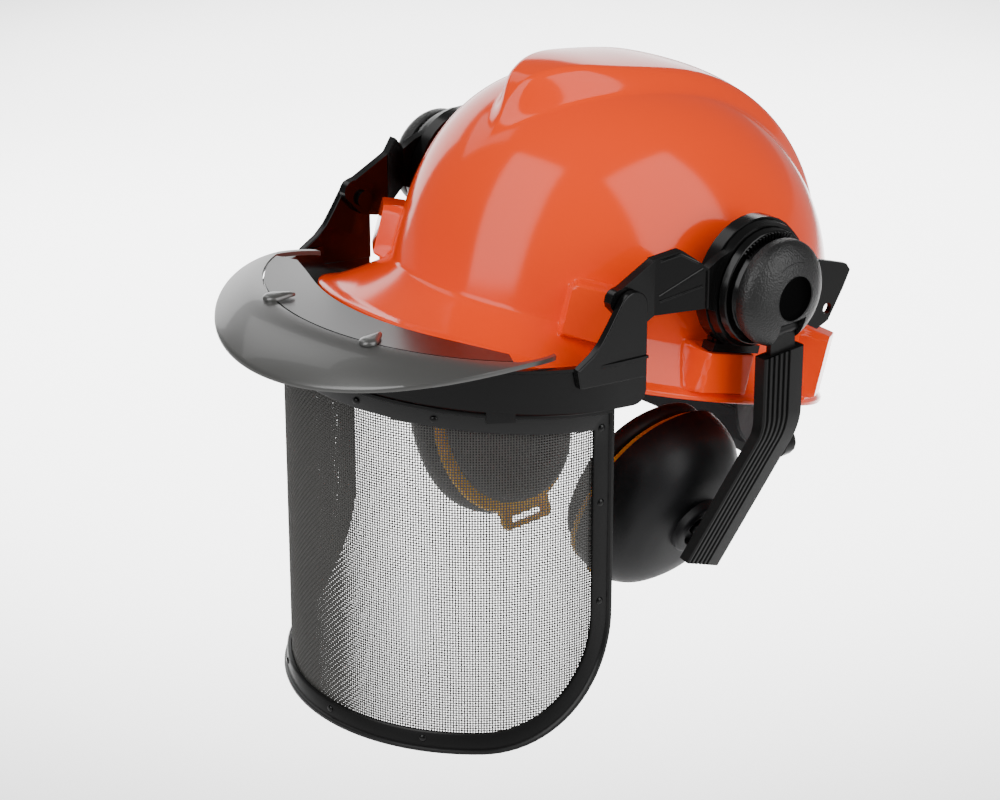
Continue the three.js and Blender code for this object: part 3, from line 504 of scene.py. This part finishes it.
# ---- Screen: frame, rivets and woven wire ----


def screen_top(s):
    return SCREEN_TOP + SCREEN_TOP_RISE * np.cos(s / SCREEN_RADIUS)


SCREEN_REACH = math.pi / 2 * SCREEN_RADIUS


def screen_outline(inset, top_steps=48, corner_steps=24):
    side = SCREEN_REACH - inset
    corner = SCREEN_CORNER - inset
    foot = SCREEN_BOTTOM + SCREEN_CORNER
    s = side * np.arange(top_steps) / top_steps
    half = [(a, b) for a, b in zip(s, screen_top(s) - inset)]
    start = screen_top(side) - inset
    half += [(side, mix(start, foot, part)) for part in np.linspace(0, 1, 8)]
    straight = SCREEN_REACH - SCREEN_CORNER
    for angle in np.linspace(0, math.pi / 2, corner_steps + 1)[1:]:
        half.append((straight + corner * math.cos(angle), foot - corner * math.sin(angle)))
    for part in np.linspace(0, 1, 17)[1:]:
        half.append((straight * (1 - part), foot - corner))
    return np.array(half + [(-a, b) for a, b in half[-2:0:-1]])


def on_screen(flat, radius):
    angle = flat[..., 0] / SCREEN_RADIUS
    return np.stack([radius * np.sin(angle), SCREEN_CENTRE_Y - radius * np.cos(angle), flat[..., 1]], -1)


def frame_shape():
    back = SCREEN_RADIUS
    section = [
        (0.4, 0), (0, 0.4), (0, FRAME_DEPTH - 0.8), (0.3, FRAME_DEPTH - 0.2), (0.9, FRAME_DEPTH),
        (2.0, FRAME_DEPTH - 0.1), (2.6, FRAME_DEPTH - 0.8), (2.8, 2.5), (3.4, 2.3),
        (FRAME_WIDTH - 0.8, 2.3),
        (FRAME_WIDTH, 1.7), (FRAME_WIDTH, 0.3), (FRAME_WIDTH - 0.3, 0),
    ]
    loops = np.array([on_screen(screen_outline(inset), back + out) for inset, out in section])
    body = ring(loops)
    lugs = []
    for degrees in (-55, 0, 55):
        turn = math.radians(degrees)
        height = screen_top(turn * SCREEN_RADIUS)
        points, faces = block([-7, -101.9, height - 4], [7, -SCREEN_RADIUS - 1, height + 9])
        c, s = math.cos(turn), math.sin(turn)
        x, y = points[:, 0], points[:, 1]
        turned = np.stack([x * c - y * s, x * s + y * c + SCREEN_CENTRE_Y, points[:, 2]], -1)
        lugs.append((turned, faces))
    return joined(body, *lugs)


piece("screen_frame", frame_shape(), satin_black, "visor", "satin_black", ["visor_frame"], sharp=40)


def rivet_at(s, z):
    """A low dome on the frame's flat strip."""
    loops = []
    angle = np.linspace(0, 2 * math.pi, 16, endpoint=False)
    for radius, out in [(1.9, -0.4), (1.9, 0.25), (1.5, 0.7), (0.8, 0.95)]:
        flat = np.stack([s + radius * np.cos(angle), z + radius * np.sin(angle)], -1)
        loops.append(on_screen(flat, SCREEN_RADIUS + 2.3 + out))
    return loft(np.array(loops))


def rivets_shape():
    side = SCREEN_REACH - 7
    shapes = []
    for s in (-side, side):
        shapes += [rivet_at(s, z) for z in (8, -32, -86)]
    shapes += [rivet_at(s, screen_top(s) - 7) for s in (-62, -22, 22, 62)]
    shapes += [rivet_at(s, SCREEN_BOTTOM + 7) for s in (-55, 0, 55)]
    return joined(*shapes)


piece("screen_rivets", rivets_shape(), gloss_black, "visor", "satin_black")

WIRE_PITCH = 1.4
WIRE_RADIUS = 0.4
WIRE_SIDES = 3
MESH_INSET = 6
MESH_RADIUS = SCREEN_RADIUS - 0.9


def wire_shape():
    """Woven wires on the bent panel: each passes over and under the ones it crosses."""
    corner = SCREEN_CORNER - MESH_INSET
    foot = SCREEN_BOTTOM + SCREEN_CORNER
    side = SCREEN_REACH - MESH_INSET
    straight = SCREEN_REACH - SCREEN_CORNER

    def bottom(s):
        beyond = max(0.0, abs(s) - straight)
        return foot - math.sqrt(max(0.0, corner**2 - beyond**2))

    def half_width(z):
        below = max(0.0, foot - z)
        wide = straight + math.sqrt(max(0.0, corner**2 - below**2))
        if z <= SCREEN_TOP - MESH_INSET:
            return wide
        lift = (z + MESH_INSET - SCREEN_TOP) / SCREEN_TOP_RISE
        return min(wide, SCREEN_RADIUS * math.acos(min(1.0, max(-1.0, lift))))

    count_s = int(side / WIRE_PITCH)
    lowest, highest = SCREEN_BOTTOM / WIRE_PITCH, (SCREEN_TOP + SCREEN_TOP_RISE) / WIRE_PITCH
    rows = np.arange(int(lowest), int(highest) + 1)
    columns = np.arange(-count_s, count_s + 1)
    points, faces = [], []
    turn = np.linspace(0, 2 * math.pi, WIRE_SIDES, endpoint=False)

    def add_wire(flat, radii, upright):
        if len(flat) < 2:
            return
        start = sum(len(p) for p in points)
        angle = flat[:, 0] / SCREEN_RADIUS
        normal = np.stack([np.sin(angle), -np.cos(angle), np.zeros(len(flat))], -1)
        across, back = radii * np.sin(angle), SCREEN_CENTRE_Y - radii * np.cos(angle)
        centre = np.stack([across, back, flat[:, 1]], -1)
        sideways = np.stack([np.cos(angle), np.sin(angle), np.zeros(len(flat))], -1)
        if not upright:
            sideways = np.tile(np.array([0.0, 0.0, 1.0]), (len(flat), 1))
        loops = [
            centre + WIRE_RADIUS * (math.cos(t) * normal + math.sin(t) * sideways) for t in turn
        ]
        grid = np.stack(loops, 1)
        points.append(grid.reshape(-1, 3))
        faces.extend(lattice(len(flat), WIRE_SIDES, True, start))
        faces.append([start + i for i in range(WIRE_SIDES)][::-1])
        last = start + (len(flat) - 1) * WIRE_SIDES
        faces.append([last + i for i in range(WIRE_SIDES)])

    weave = WIRE_RADIUS * 0.9
    for c in columns:
        s = c * WIRE_PITCH
        low, high = bottom(s), screen_top(s) - MESH_INSET
        r = rows[(rows * WIRE_PITCH > low) & (rows * WIRE_PITCH < high)]
        flat = np.stack([np.full(len(r), s), r * WIRE_PITCH], -1)
        add_wire(flat, MESH_RADIUS + weave * np.where((r + c) % 2 == 0, 1, -1), True)
    for r in rows:
        z = r * WIRE_PITCH
        wide = half_width(z)
        c = columns[np.abs(columns * WIRE_PITCH) < wide]
        flat = np.stack([c * WIRE_PITCH, np.full(len(c), z)], -1)
        add_wire(flat, MESH_RADIUS - weave * np.where((r + c) % 2 == 0, 1, -1), False)
    return np.concatenate(points), faces


piece("woven_wire", wire_shape(), wire, "visor", "screen_mesh", ["visor_mesh"], sharp=120)

# ---- Brow hoop with its side fins ----

HOOP_TOP = 41.5
HOOP_BOTTOM = 16
HOOP_IN = 102.4
HOOP_OUT = 105
HOOP_END = -72.5
FIN_IN = 101.2


def hoop_point(u, v, side):
    lip = 1.3 * smooth(v, 0.9, 0.93)
    radius = mix(HOOP_IN, HOOP_OUT + lip, side)
    straight = HOOP_END - SCREEN_CENTRE_Y
    curve = math.pi * HOOP_OUT
    distance = u * (curve + 2 * straight) - straight
    angle = np.clip(distance, 0, curve) / HOOP_OUT - math.pi / 2
    rearwards = np.maximum(-distance, 0) + np.maximum(distance - curve, 0)
    x = radius * np.sin(angle)
    y = SCREEN_CENTRE_Y - radius * np.cos(angle) + rearwards
    ahead = HOOP_END - y
    corner = 7 * (1 - np.sqrt(1 - np.clip(1 - ahead / 9, 0, 1) ** 2))
    return np.stack([x, y, mix(HOOP_BOTTOM + 0.15 * ahead + corner, HOOP_TOP + 0.11 * ahead, v)], -1)


def fin_shape():
    outline = [(-116, 36), (-118, 46), (-108, 51), (-102, 56), (-96.5, 63)]
    outline += arc(HINGE_Y, HINGE_Z, 9.5, 150, 0, 12)
    outline += [(HOOP_END, 58), (HOOP_END, 30)]
    return extruded(outline, FIN_IN, HOOP_OUT + 0.3)


piece("brow_hoop", slab(hoop_point, 140 * FINE, 30), gloss_black, "visor", "gloss_black", ["carrier"])
pair("hoop_fin", fin_shape(), gloss_black, "visor", "gloss_black", bevel=0.7)


def tube(route, radius, sides=10):
    """A round bead laid along a route of points."""
    route = np.asarray(route, float)
    along = np.gradient(route, axis=0)
    along /= np.linalg.norm(along, axis=1, keepdims=True)
    side = np.cross(along, [0.3, 0.1, 1.0])
    side /= np.linalg.norm(side, axis=1, keepdims=True)
    up = np.cross(side, along)
    turn = np.linspace(0, 2 * math.pi, sides, endpoint=False)
    loops = []
    for p, a, b in zip(route, side, up):
        loops.append(p + radius * (np.outer(np.cos(turn), a) + np.outer(np.sin(turn), b)))
    return loft(np.array(loops))


ARM_OUT = 114.8
ARM_FRONT_OUT = 100.9
WEB_REAR = -42
WEB_FRONT = -64


def on_web(y, z):
    """A point on the slanting outer face of the screen's arm."""
    slope = (ARM_OUT - ARM_FRONT_OUT) / (WEB_REAR - WEB_FRONT)
    return (ARM_OUT - slope * (WEB_REAR - y), y, z)


web_ribs = joined(
    tube([on_web(-44, 81), on_web(-53, 74.5), on_web(-62, 68)], 0.7),
    tube([on_web(-44, 72), on_web(-53, 68.5), on_web(-62, 65)], 0.7),
    tube([on_web(-46, 84), on_web(-53.5, 89), on_web(-62, 86)], 0.8),
)
pair("arm_web_rib", web_ribs, gloss_black, "visor_arms", "gloss_black")
PIN_INNER = 94.4
PIN_OUTER = 105.2
pin_profile = [(0.01, PIN_INNER), (4.3, PIN_INNER), (4.3, 96.1), (3, 96.2)]
pin_profile += [(3, PIN_OUTER - 0.3), (2.6, PIN_OUTER), (0.01, PIN_OUTER)]
pin = lathe(pin_profile, (0, HINGE_Y, HINGE_Z), 32)
pair("arm_hinge_pin", pin, gloss_black, "visor_arms", "satin_black", "hinge_pin")

# ---- Ear muffs ----

DOME_IN = 123.6
DOME_OUT = 138.5
DOME_RADIUS = 27
RECESS_RADIUS = 11.6
SWING_X = 129.5
SWING_Z = 44
TONGUE_WIDTH = 17
BAND_WIDTH = 28
BAND_THICKNESS = 7
BAND_TOP = 32
TONGUE_FOOT = -5


def dome_profile():
    profile = [(0.01, DOME_IN), (DOME_RADIUS - 1, DOME_IN), (DOME_RADIUS - 0.3, DOME_IN + 0.4)]
    profile += [(DOME_RADIUS, DOME_IN + 1.5), (DOME_RADIUS, DOME_IN + 4)]
    for degrees in np.linspace(4, 64, 16):
        turn = math.radians(degrees)
        height = DOME_IN + 4 + (DOME_OUT - DOME_IN - 4) * math.sin(turn) * 1.1
        profile.append((DOME_RADIUS * math.cos(turn), min(height, DOME_OUT)))
    profile += [(RECESS_RADIUS + 0.2, DOME_OUT), (RECESS_RADIUS - 0.3, DOME_OUT - 0.4)]
    return profile


def recess_profile():
    profile = [(RECESS_RADIUS - 0.3, DOME_OUT - 0.4), (RECESS_RADIUS - 0.5, DOME_OUT - 2.2)]
    for t in np.linspace(0, 1.5, 12):
        profile.append(((RECESS_RADIUS - 0.8) * math.cos(t), DOME_OUT - 2.4 - 3 * math.sin(t)))
    return profile


centre = (0, PIVOT_Y, PIVOT_Z)
dome_shape = lathe(dome_profile() + recess_profile(), centre)
domes = pair(
    "muff_dome", dome_shape, pebbled_black, "muff_carrier_{}", "satin_black", "dome_cap", sharp=50
)
half = TONGUE_WIDTH / 2 + 0.3
notch = block([DOME_IN + 2, PIVOT_Y - half, 20], [DOME_OUT + 5, PIVOT_Y + half, SWING_Z + 6])
carve_pair(domes, notch, 40)
# Faces inside the recess take the painted-shade black.
for dome in domes:
    dome.data.materials.append(recess_black_painted_shade)
    for polygon in dome.data.polygons:
        x, y, z = polygon.center / MM
        if math.hypot(y - PIVOT_Y, z - PIVOT_Z) < RECESS_RADIUS - 0.2 and abs(x) > DOME_OUT - 7:
            polygon.material_index = 1

# A thin raised arc on the dome above its recess.
EMBOSS_RADIUS = 17.5
EMBOSS_OUT = 136.6
emboss_arc = [(EMBOSS_OUT, y, z) for y, z in arc(PIVOT_Y, PIVOT_Z, EMBOSS_RADIUS, 68, 118, 24)]
pair("dome_emboss", tube(emboss_arc, 0.5), pebbled_black, "muff_carrier_{}", "satin_black")

# Ratchet teeth on the hub disc's upper edge.
RING_FACE = 119.3


def teeth_shape():
    shapes = []
    for degrees in np.arange(58, 126, 4.5):
        a, b = math.radians(degrees), math.radians(degrees + 2.6)
        corners = ((24.2, a), (28.4, a), (28.4, b), (24.2, b))
        outline = [(PIVOT_Y + r * math.cos(t), PIVOT_Z + r * math.sin(t)) for r, t in corners]
        shapes.append(extruded(outline, RING_FACE - 0.3, RING_FACE + 1.1))
    return joined(*shapes)


pair(
    "hub_teeth", teeth_shape(), gloss_black, "muff_carrier_{}", "gloss_black", bevel=0.25, segments=2
)

BAND_BEND = np.array([SWING_X, PIVOT_Y, -9.0])
BAND_END = np.array([110.5, -38.0, -80.0])


def band_section():
    """The arm's outline: a is across it from front to rear, b out; grooves run along the front part."""
    section = [(-1, -1), (0.96, -1), (1, -0.8), (1, 0.6), (0.93, 0.97), (0.85, 1)]
    grooves = np.linspace(0.2, -0.8, 5)
    for a in grooves:
        section += [(a + 0.075, 1), (a + 0.045, 0.72), (a - 0.045, 0.72), (a - 0.075, 1)]
    return np.array(section + [(-0.93, 1), (-1, 0.8), (-1, -0.8)])


def band_shape():
    top = np.array([SWING_X, PIVOT_Y, BAND_TOP])
    straight = top + (BAND_BEND - top) * 0.82
    beyond = BAND_BEND + (BAND_END - BAND_BEND) * 0.1
    t = np.linspace(0, 1, 13)[:, None]
    curve = (1 - t) ** 2 * straight + 2 * t * (1 - t) * BAND_BEND + t**2 * beyond
    route = np.concatenate([[top], curve, [mix(beyond, BAND_END, 0.5)], [BAND_END]])
    section = band_section()
    loops = []
    for i, p in enumerate(route):
        along = route[min(len(route) - 1, i + 1)] - route[max(0, i - 1)]
        along /= np.linalg.norm(along)
        across = np.array([0, 1, 0]) - along * along[1]
        across /= np.linalg.norm(across)
        out = -np.cross(across, along)
        slim = mix(1, 0.8, i / (len(route) - 1))
        wide = np.outer(section[:, 0] * BAND_WIDTH / 2, across)
        loops.append(p + wide + np.outer(section[:, 1] * BAND_THICKNESS * slim / 2, out))
    return loft(np.array(loops))


bands = pair("muff_arm", band_shape(), satin_black, "muff_band_{}", "satin_black", "arm_band", sharp=25)
channel = block(
    [SWING_X - 1.8, PIVOT_Y - half, TONGUE_FOOT - 2],
    [SWING_X + 1.8, PIVOT_Y + half, BAND_TOP + 5],
)
carve_pair(bands, channel, 25)


# ---- Ear cups: local +X points out of the cup, +Z up along it ----


def placed(shape):
    points, faces = shape
    c, s = math.cos(CUP_TILT), math.sin(CUP_TILT)
    x, y, z = points[:, 0], points[:, 1], points[:, 2]
    return np.stack([c * x + s * z, y, c * z - s * x], -1) + np.array(CUP_CENTRE), faces


def cup_oval(x, scale, count=96):
    angle = np.linspace(0, 2 * math.pi, count, endpoint=False)
    c, s = np.cos(angle), np.sin(angle)
    size = scale / (np.abs(c) ** 2.3 + np.abs(s) ** 2.3) ** (1 / 2.3)
    return np.stack([np.full_like(c, x), CUP_HALF_WIDTH * size * c, CUP_HALF_HEIGHT * size * s], -1)


def cup_shell():
    knots = [(2.1, 0.985), (10, 0.99), (20, 0.945), (28, 0.83), (34, 0.66), (37.2, 0.45)]
    knots = np.array(knots + [(CUP_DEPTH, 0.2)])
    t = np.linspace(0, len(knots) - 1, 40)
    x = np.interp(t, range(len(knots)), knots[:, 0])
    scale = np.interp(t, range(len(knots)), knots[:, 1])
    kernel = np.array([1, 4, 6, 4, 1]) / 16
    for _ in range(3):
        x = np.convolve(np.pad(x, 2, mode="reflect", reflect_type="odd"), kernel, "valid")
        scale = np.convolve(np.pad(scale, 2, mode="reflect", reflect_type="odd"), kernel, "valid")
    outer = [cup_oval(a, b) for a, b in zip(x[::-1], scale[::-1])]
    hollow = [(2.1, 0.9), (10, 0.9), (19, 0.86), (26, 0.76), (31, 0.58), (31, 0.2)]
    return loft(np.array(outer + [cup_oval(a, b) for a, b in hollow]))


def boss_shape():
    profile = [(0.01, BALL_X - 6), (8.8, BALL_X - 6), (10.6, BOSS_OUT), (11, BOSS_OUT)]
    profile += [(14.6, BOSS_OUT - 0.1), (15.3, BOSS_OUT - 0.6), (15.6, BOSS_OUT - 1.6)]
    profile += [(16.5, CUP_DEPTH - 8), (0.01, CUP_DEPTH - 8)]
    return lathe(profile, (0, 0, BOSS_RISE), 64)


ear_cup = placed(joined(cup_shell(), boss_shape()))
pair("ear_cup", ear_cup, charcoal, "muff_cup_{}", "charcoal", "cup", sharp=45)


def back_plate_shape():
    section = [(0.97, -1.8), (0.985, -1.4), (0.99, -0.8), (0.99, 1.0), (0.975, 1.8)]
    section += [(0.72, 1.8), (0.72, -1.8)]
    loops = np.array([cup_oval(x, scale) for scale, x in section])
    loops[..., 1:] *= 1 - 0.075 * smooth(loops[..., 2:] / CUP_HALF_HEIGHT, -0.2, 0.5)
    foot = -CUP_HALF_HEIGHT - 4.5
    outline = arc(-13, foot, 3.5, 180, 270, 4) + arc(13, foot, 3.5, 270, 360, 4)
    outline += [(16.5, -CUP_HALF_HEIGHT + 10), (-16.5, -CUP_HALF_HEIGHT + 10)]
    return joined(ring(loops), extruded(outline, -1.7, 1.7))


plate = placed(back_plate_shape())
plates = pair("cup_plate", plate, amber, "muff_cup_{}", "amber", "back_plate", sharp=35)
slot_cutter = placed(block([-5, -11, -CUP_HALF_HEIGHT - 5], [5, 11, -CUP_HALF_HEIGHT - 1.5]))
carve_pair(plates, slot_cutter, 35)

foam_ovals = [(12.2, 0.72), (12.2, 0.77), (13, 0.8), (18, 0.78), (24, 0.68), (24, 0.3)]
cup_liner = placed(loft(np.array([cup_oval(x, s) for x, s in foam_ovals])))
pair("cup_liner", cup_liner, foam, "muff_cup_{}", "foam", "cup_foam")

CUSHION_THICKNESS = 13


def cushion_shape(count, around):
    """The cushion's ring: flat on the plate, crowned towards the head."""
    back = -2.1
    loops = []
    for t in np.linspace(0, 2 * math.pi, around, endpoint=False):
        depth = 0.5 - 0.5 * math.cos(t)
        scale = 0.735 + 0.165 * math.sin(t) * (1 - 0.12 * depth)
        loops.append(cup_oval(back - max(0.0, depth) * CUSHION_THICKNESS, scale, count))
    return ring(np.array(loops))


def simulate_cushion(obj, back_x):
    """Blows the ring up as a skin held along its flat back, then caps how far it moved."""
    scene = bpy.context.scene
    rest = np.array([v.co for v in obj.data.vertices])
    held = obj.vertex_groups.new(name="held")
    held.add([i for i, p in enumerate(back_x) if p > -3.4], 1.0, "REPLACE")
    cloth = obj.modifiers.new("cloth", "CLOTH")
    cloth.settings.quality = 6
    cloth.settings.mass = 0.2
    cloth.settings.use_pressure = True
    cloth.settings.uniform_pressure_force = 4
    cloth.settings.vertex_group_mass = "held"
    cloth.settings.tension_stiffness = 12
    cloth.settings.shrink_min = -0.03
    cloth.settings.effector_weights.gravity = 0
    cloth.point_cache.frame_start = 1
    cloth.point_cache.frame_end = 20
    for number in range(1, 21):
        scene.frame_set(number)
    apply_modifiers(obj)
    moved = np.array([v.co for v in obj.data.vertices]) - rest
    length = np.linalg.norm(moved, axis=1, keepdims=True)
    limit = 1.2 * MM
    moved *= np.minimum(1, limit / np.maximum(length, 1e-9))
    obj.data.vertices.foreach_set("co", (rest + moved).ravel())
    scene.frame_set(1)


cushion_local = cushion_shape(72, 20)
cushion = piece("ear_cushion_left", placed(cushion_local), cushion_skin, None, "cushion_skin")
simulate_cushion(cushion, cushion_local[0][:, 0])
mirror_mesh = cushion.data.copy()
mirror_mesh.transform(Matrix.Diagonal((-1, 1, 1, 1)))
mirror_mesh.flip_normals()
twin = bpy.data.objects.new("ear_cushion_right", mirror_mesh)
bpy.context.scene.collection.objects.link(twin)
for obj, side in ((cushion, "left"), (twin, "right")):
    shade_smooth(obj.data)
    obj.modifiers.new("fine", "SUBSURF").levels = 1
    obj.modifiers["fine"].render_levels = 1
    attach(obj, f"muff_cup_{side}")
    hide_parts(f"cushion_{side}")

# ---- Harness ----

HEAD_HALF_WIDTH = 78
HEAD_HALF_LENGTH = 97
HANGER_HEIGHT = 29
HANGER_FRONT = 38
HANGER_REAR = 142


def around_head(degrees, out, z):
    angle = np.radians(degrees)
    spread = 1 / np.hypot(np.sin(angle) / HEAD_HALF_WIDTH, np.cos(angle) / HEAD_HALF_LENGTH) + out
    return np.stack([spread * np.sin(angle), -spread * np.cos(angle), z + 0 * spread], -1)


def strap_shape(drop, side):
    start = around_head(side * HANGER_FRONT, 0.2, HANGER_HEIGHT + 8)
    end = around_head(-side * HANGER_REAR, 0.2, HANGER_HEIGHT + 8)
    top = 112 - drop
    along = (end - start) * np.array([1, 1, 0])
    along /= np.linalg.norm(along)
    across = np.array([-along[1], along[0], 0])

    def point(u, v, side_of):
        lift = -1.2 * (1 - side_of)
        arch = np.sin(math.pi * np.clip(u, 1e-6, 1 - 1e-6)) ** 0.62
        p = start + (end - start) * u[:, None]
        p[:, 2] = start[2] + (top - start[2]) * arch + lift * arch
        p += np.outer(lift * np.where(u < 0.5, -1, 1) * (1 - arch), along)
        return p + np.outer(mix(-10, 10, v), across)

    points, faces = slab(point, 80, 6)
    return from_hat(points), faces


piece("harness_strap_a", strap_shape(0, 1), webbing, "hat", "webbing", ["crown_strap_a"])
piece("harness_strap_b", strap_shape(2.4, -1), webbing, "hat", "webbing", ["crown_strap_b"])


def sweatband_point(u, v, side):
    degrees = mix(-62, 62, u)
    puff = 0.7 * np.sin(np.clip(v, 0, 1) * math.pi)
    return from_hat(around_head(degrees, mix(-3.9 - puff, -0.9, side), mix(7, 32, v)))


sweatband = slab(sweatband_point, 90, 10)
brow_pad = piece("brow_pad", sweatband, cushion_skin, "hat", "cushion_skin", ["sweatband"])

# ---- The solid model's own parts: rounded edges and finishes ----

LOOKS = {
    "slot_adaptor": (gloss_black, 0.6),
    "visor_arm": (gloss_black, 0.7),
    "muff_pivot": (gloss_black, 0.7),
    "swing_pin": (steel, 0.2),
    "arm_tongue": (satin_black, 0.5),
    "cup_swivel": (satin_black, 0.4),
    "hanger_front": (grey_plastic, 0.4),
    "hanger_rear": (grey_plastic, 0.4),
    "headband": (webbing, 0.3),
    "nape_strap": (webbing, 0.4),
    "ratchet_housing": (satin_black, 1.2),
    "ratchet_knob": (satin_black, 0.4),
}
SMOOTH_BELOW = math.radians(30)


def smooth_by_angle():
    """Nodes that shade every face smooth and keep the edges sharper than SMOOTH_BELOW crisp."""
    tree = bpy.data.node_groups.new("smooth_by_angle", "GeometryNodeTree")
    tree.interface.new_socket("Geometry", in_out="INPUT", socket_type="NodeSocketGeometry")
    tree.interface.new_socket("Geometry", in_out="OUTPUT", socket_type="NodeSocketGeometry")
    source = tree.nodes.new("NodeGroupInput")
    faces = tree.nodes.new("GeometryNodeSetShadeSmooth")
    edges = tree.nodes.new("GeometryNodeSetShadeSmooth")
    edges.domain = "EDGE"
    angle = tree.nodes.new("GeometryNodeInputMeshEdgeAngle")
    gentle = tree.nodes.new("ShaderNodeMath")
    gentle.operation = "LESS_THAN"
    gentle.inputs[1].default_value = SMOOTH_BELOW
    result = tree.nodes.new("NodeGroupOutput")
    tree.links.new(source.outputs[0], faces.inputs["Geometry"])
    tree.links.new(faces.outputs[0], edges.inputs["Geometry"])
    tree.links.new(angle.outputs[0], gentle.inputs[0])
    tree.links.new(gentle.outputs[0], edges.inputs["Shade Smooth"])
    tree.links.new(edges.outputs[0], result.inputs[0])
    return tree


shading = smooth_by_angle()
for node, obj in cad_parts.items():
    look = LOOKS.get(node.removesuffix("_left").removesuffix("_right"))
    if look is None:
        continue
    obj.data.materials.clear()
    obj.data.materials.append(look[0])
    weld = obj.modifiers.new("weld", "WELD")
    weld.merge_threshold = 0.00001
    obj.modifiers.new("shading", "NODES").node_group = shading
    rounded(obj, look[1])

# ---- Camera, floor and light ----

scene = bpy.context.scene
camera_data = bpy.data.cameras.new("camera")
camera = bpy.data.objects.new("camera", camera_data)
scene.collection.objects.link(camera)
scene.camera = camera
camera_data.lens = 117.5
camera_data.sensor_width = 36
AIM = Vector((-25.01, -50.37, -33.18)) * MM
CAMERA_DISTANCE = 1.7
azimuth, elevation = math.radians(48), math.radians(24.5)
back = Vector((
    math.sin(azimuth) * math.cos(elevation),
    -math.cos(azimuth) * math.cos(elevation),
    math.sin(elevation),
))
camera.location = AIM + back * CAMERA_DISTANCE
camera.rotation_mode = "QUATERNION"
camera.rotation_quaternion = (-back).to_track_quat("-Z", "Y")

FLOOR_Z = -0.75
floor_mesh = bpy.data.meshes.new("floor")
FLOOR_REACH = 14
corners = ((-1, -1), (1, -1), (1, 1), (-1, 1))
floor_points = [(x * FLOOR_REACH, y * FLOOR_REACH, FLOOR_Z) for x, y in corners]
floor_mesh.from_pydata(floor_points, [], [[0, 1, 2, 3]])
floor = bpy.data.objects.new("floor", floor_mesh)
scene.collection.objects.link(floor)
floor_white = finish_of("floor_white", (0.9, 0.9, 0.9), 0.9, specular=0.1)
floor_shader = floor_white.node_tree.nodes["Principled BSDF"]
floor_shader.inputs["Emission Color"].default_value = (1, 1, 1, 1)
floor_shader.inputs["Emission Strength"].default_value = 0.25
floor_mesh.materials.append(floor_white)

world = bpy.data.worlds.new("studio")
scene.world = world
world.use_nodes = True
world.node_tree.nodes["Background"].inputs["Color"].default_value = (1, 1, 1, 1)
world.node_tree.nodes["Background"].inputs["Strength"].default_value = 0.2


def softbox(name, direction, distance, width, height, watts):
    """A large soft lamp facing the hat from that direction."""
    data = bpy.data.lights.new(name, "AREA")
    data.shape = "RECTANGLE"
    data.size, data.size_y = width, height
    data.energy = watts
    light = bpy.data.objects.new(name, data)
    scene.collection.objects.link(light)
    away = Vector(direction).normalized()
    light.location = away * distance
    light.rotation_mode = "QUATERNION"
    light.rotation_quaternion = (-away).to_track_quat("-Z", "Y")


softbox("softbox_front", (0.11, -0.78, 0.62), 1.6, 1.05, 1.7, 22)
softbox("softbox_side", (0.85, 0.26, 0.45), 1.6, 1.2, 1.7, 22)
softbox("softbox_rear", (-0.87, 0.42, 0.14), 2.4, 2.6, 1.4, 36)
softbox("softbox_peak", (-0.68, -0.1, 0.72), 2.2, 1.1, 1.2, 7)

backdrop = bpy.data.lights.new("backdrop_spot", "SPOT")
backdrop.energy = 1700
backdrop.spot_size = math.radians(62)
backdrop.spot_blend = 0.7
backdrop.shadow_soft_size = 0.3
backdrop_lamp = bpy.data.objects.new("backdrop_spot", backdrop)
scene.collection.objects.link(backdrop_lamp)
backdrop_lamp.location = (-1.5, 1.35, 2.0)
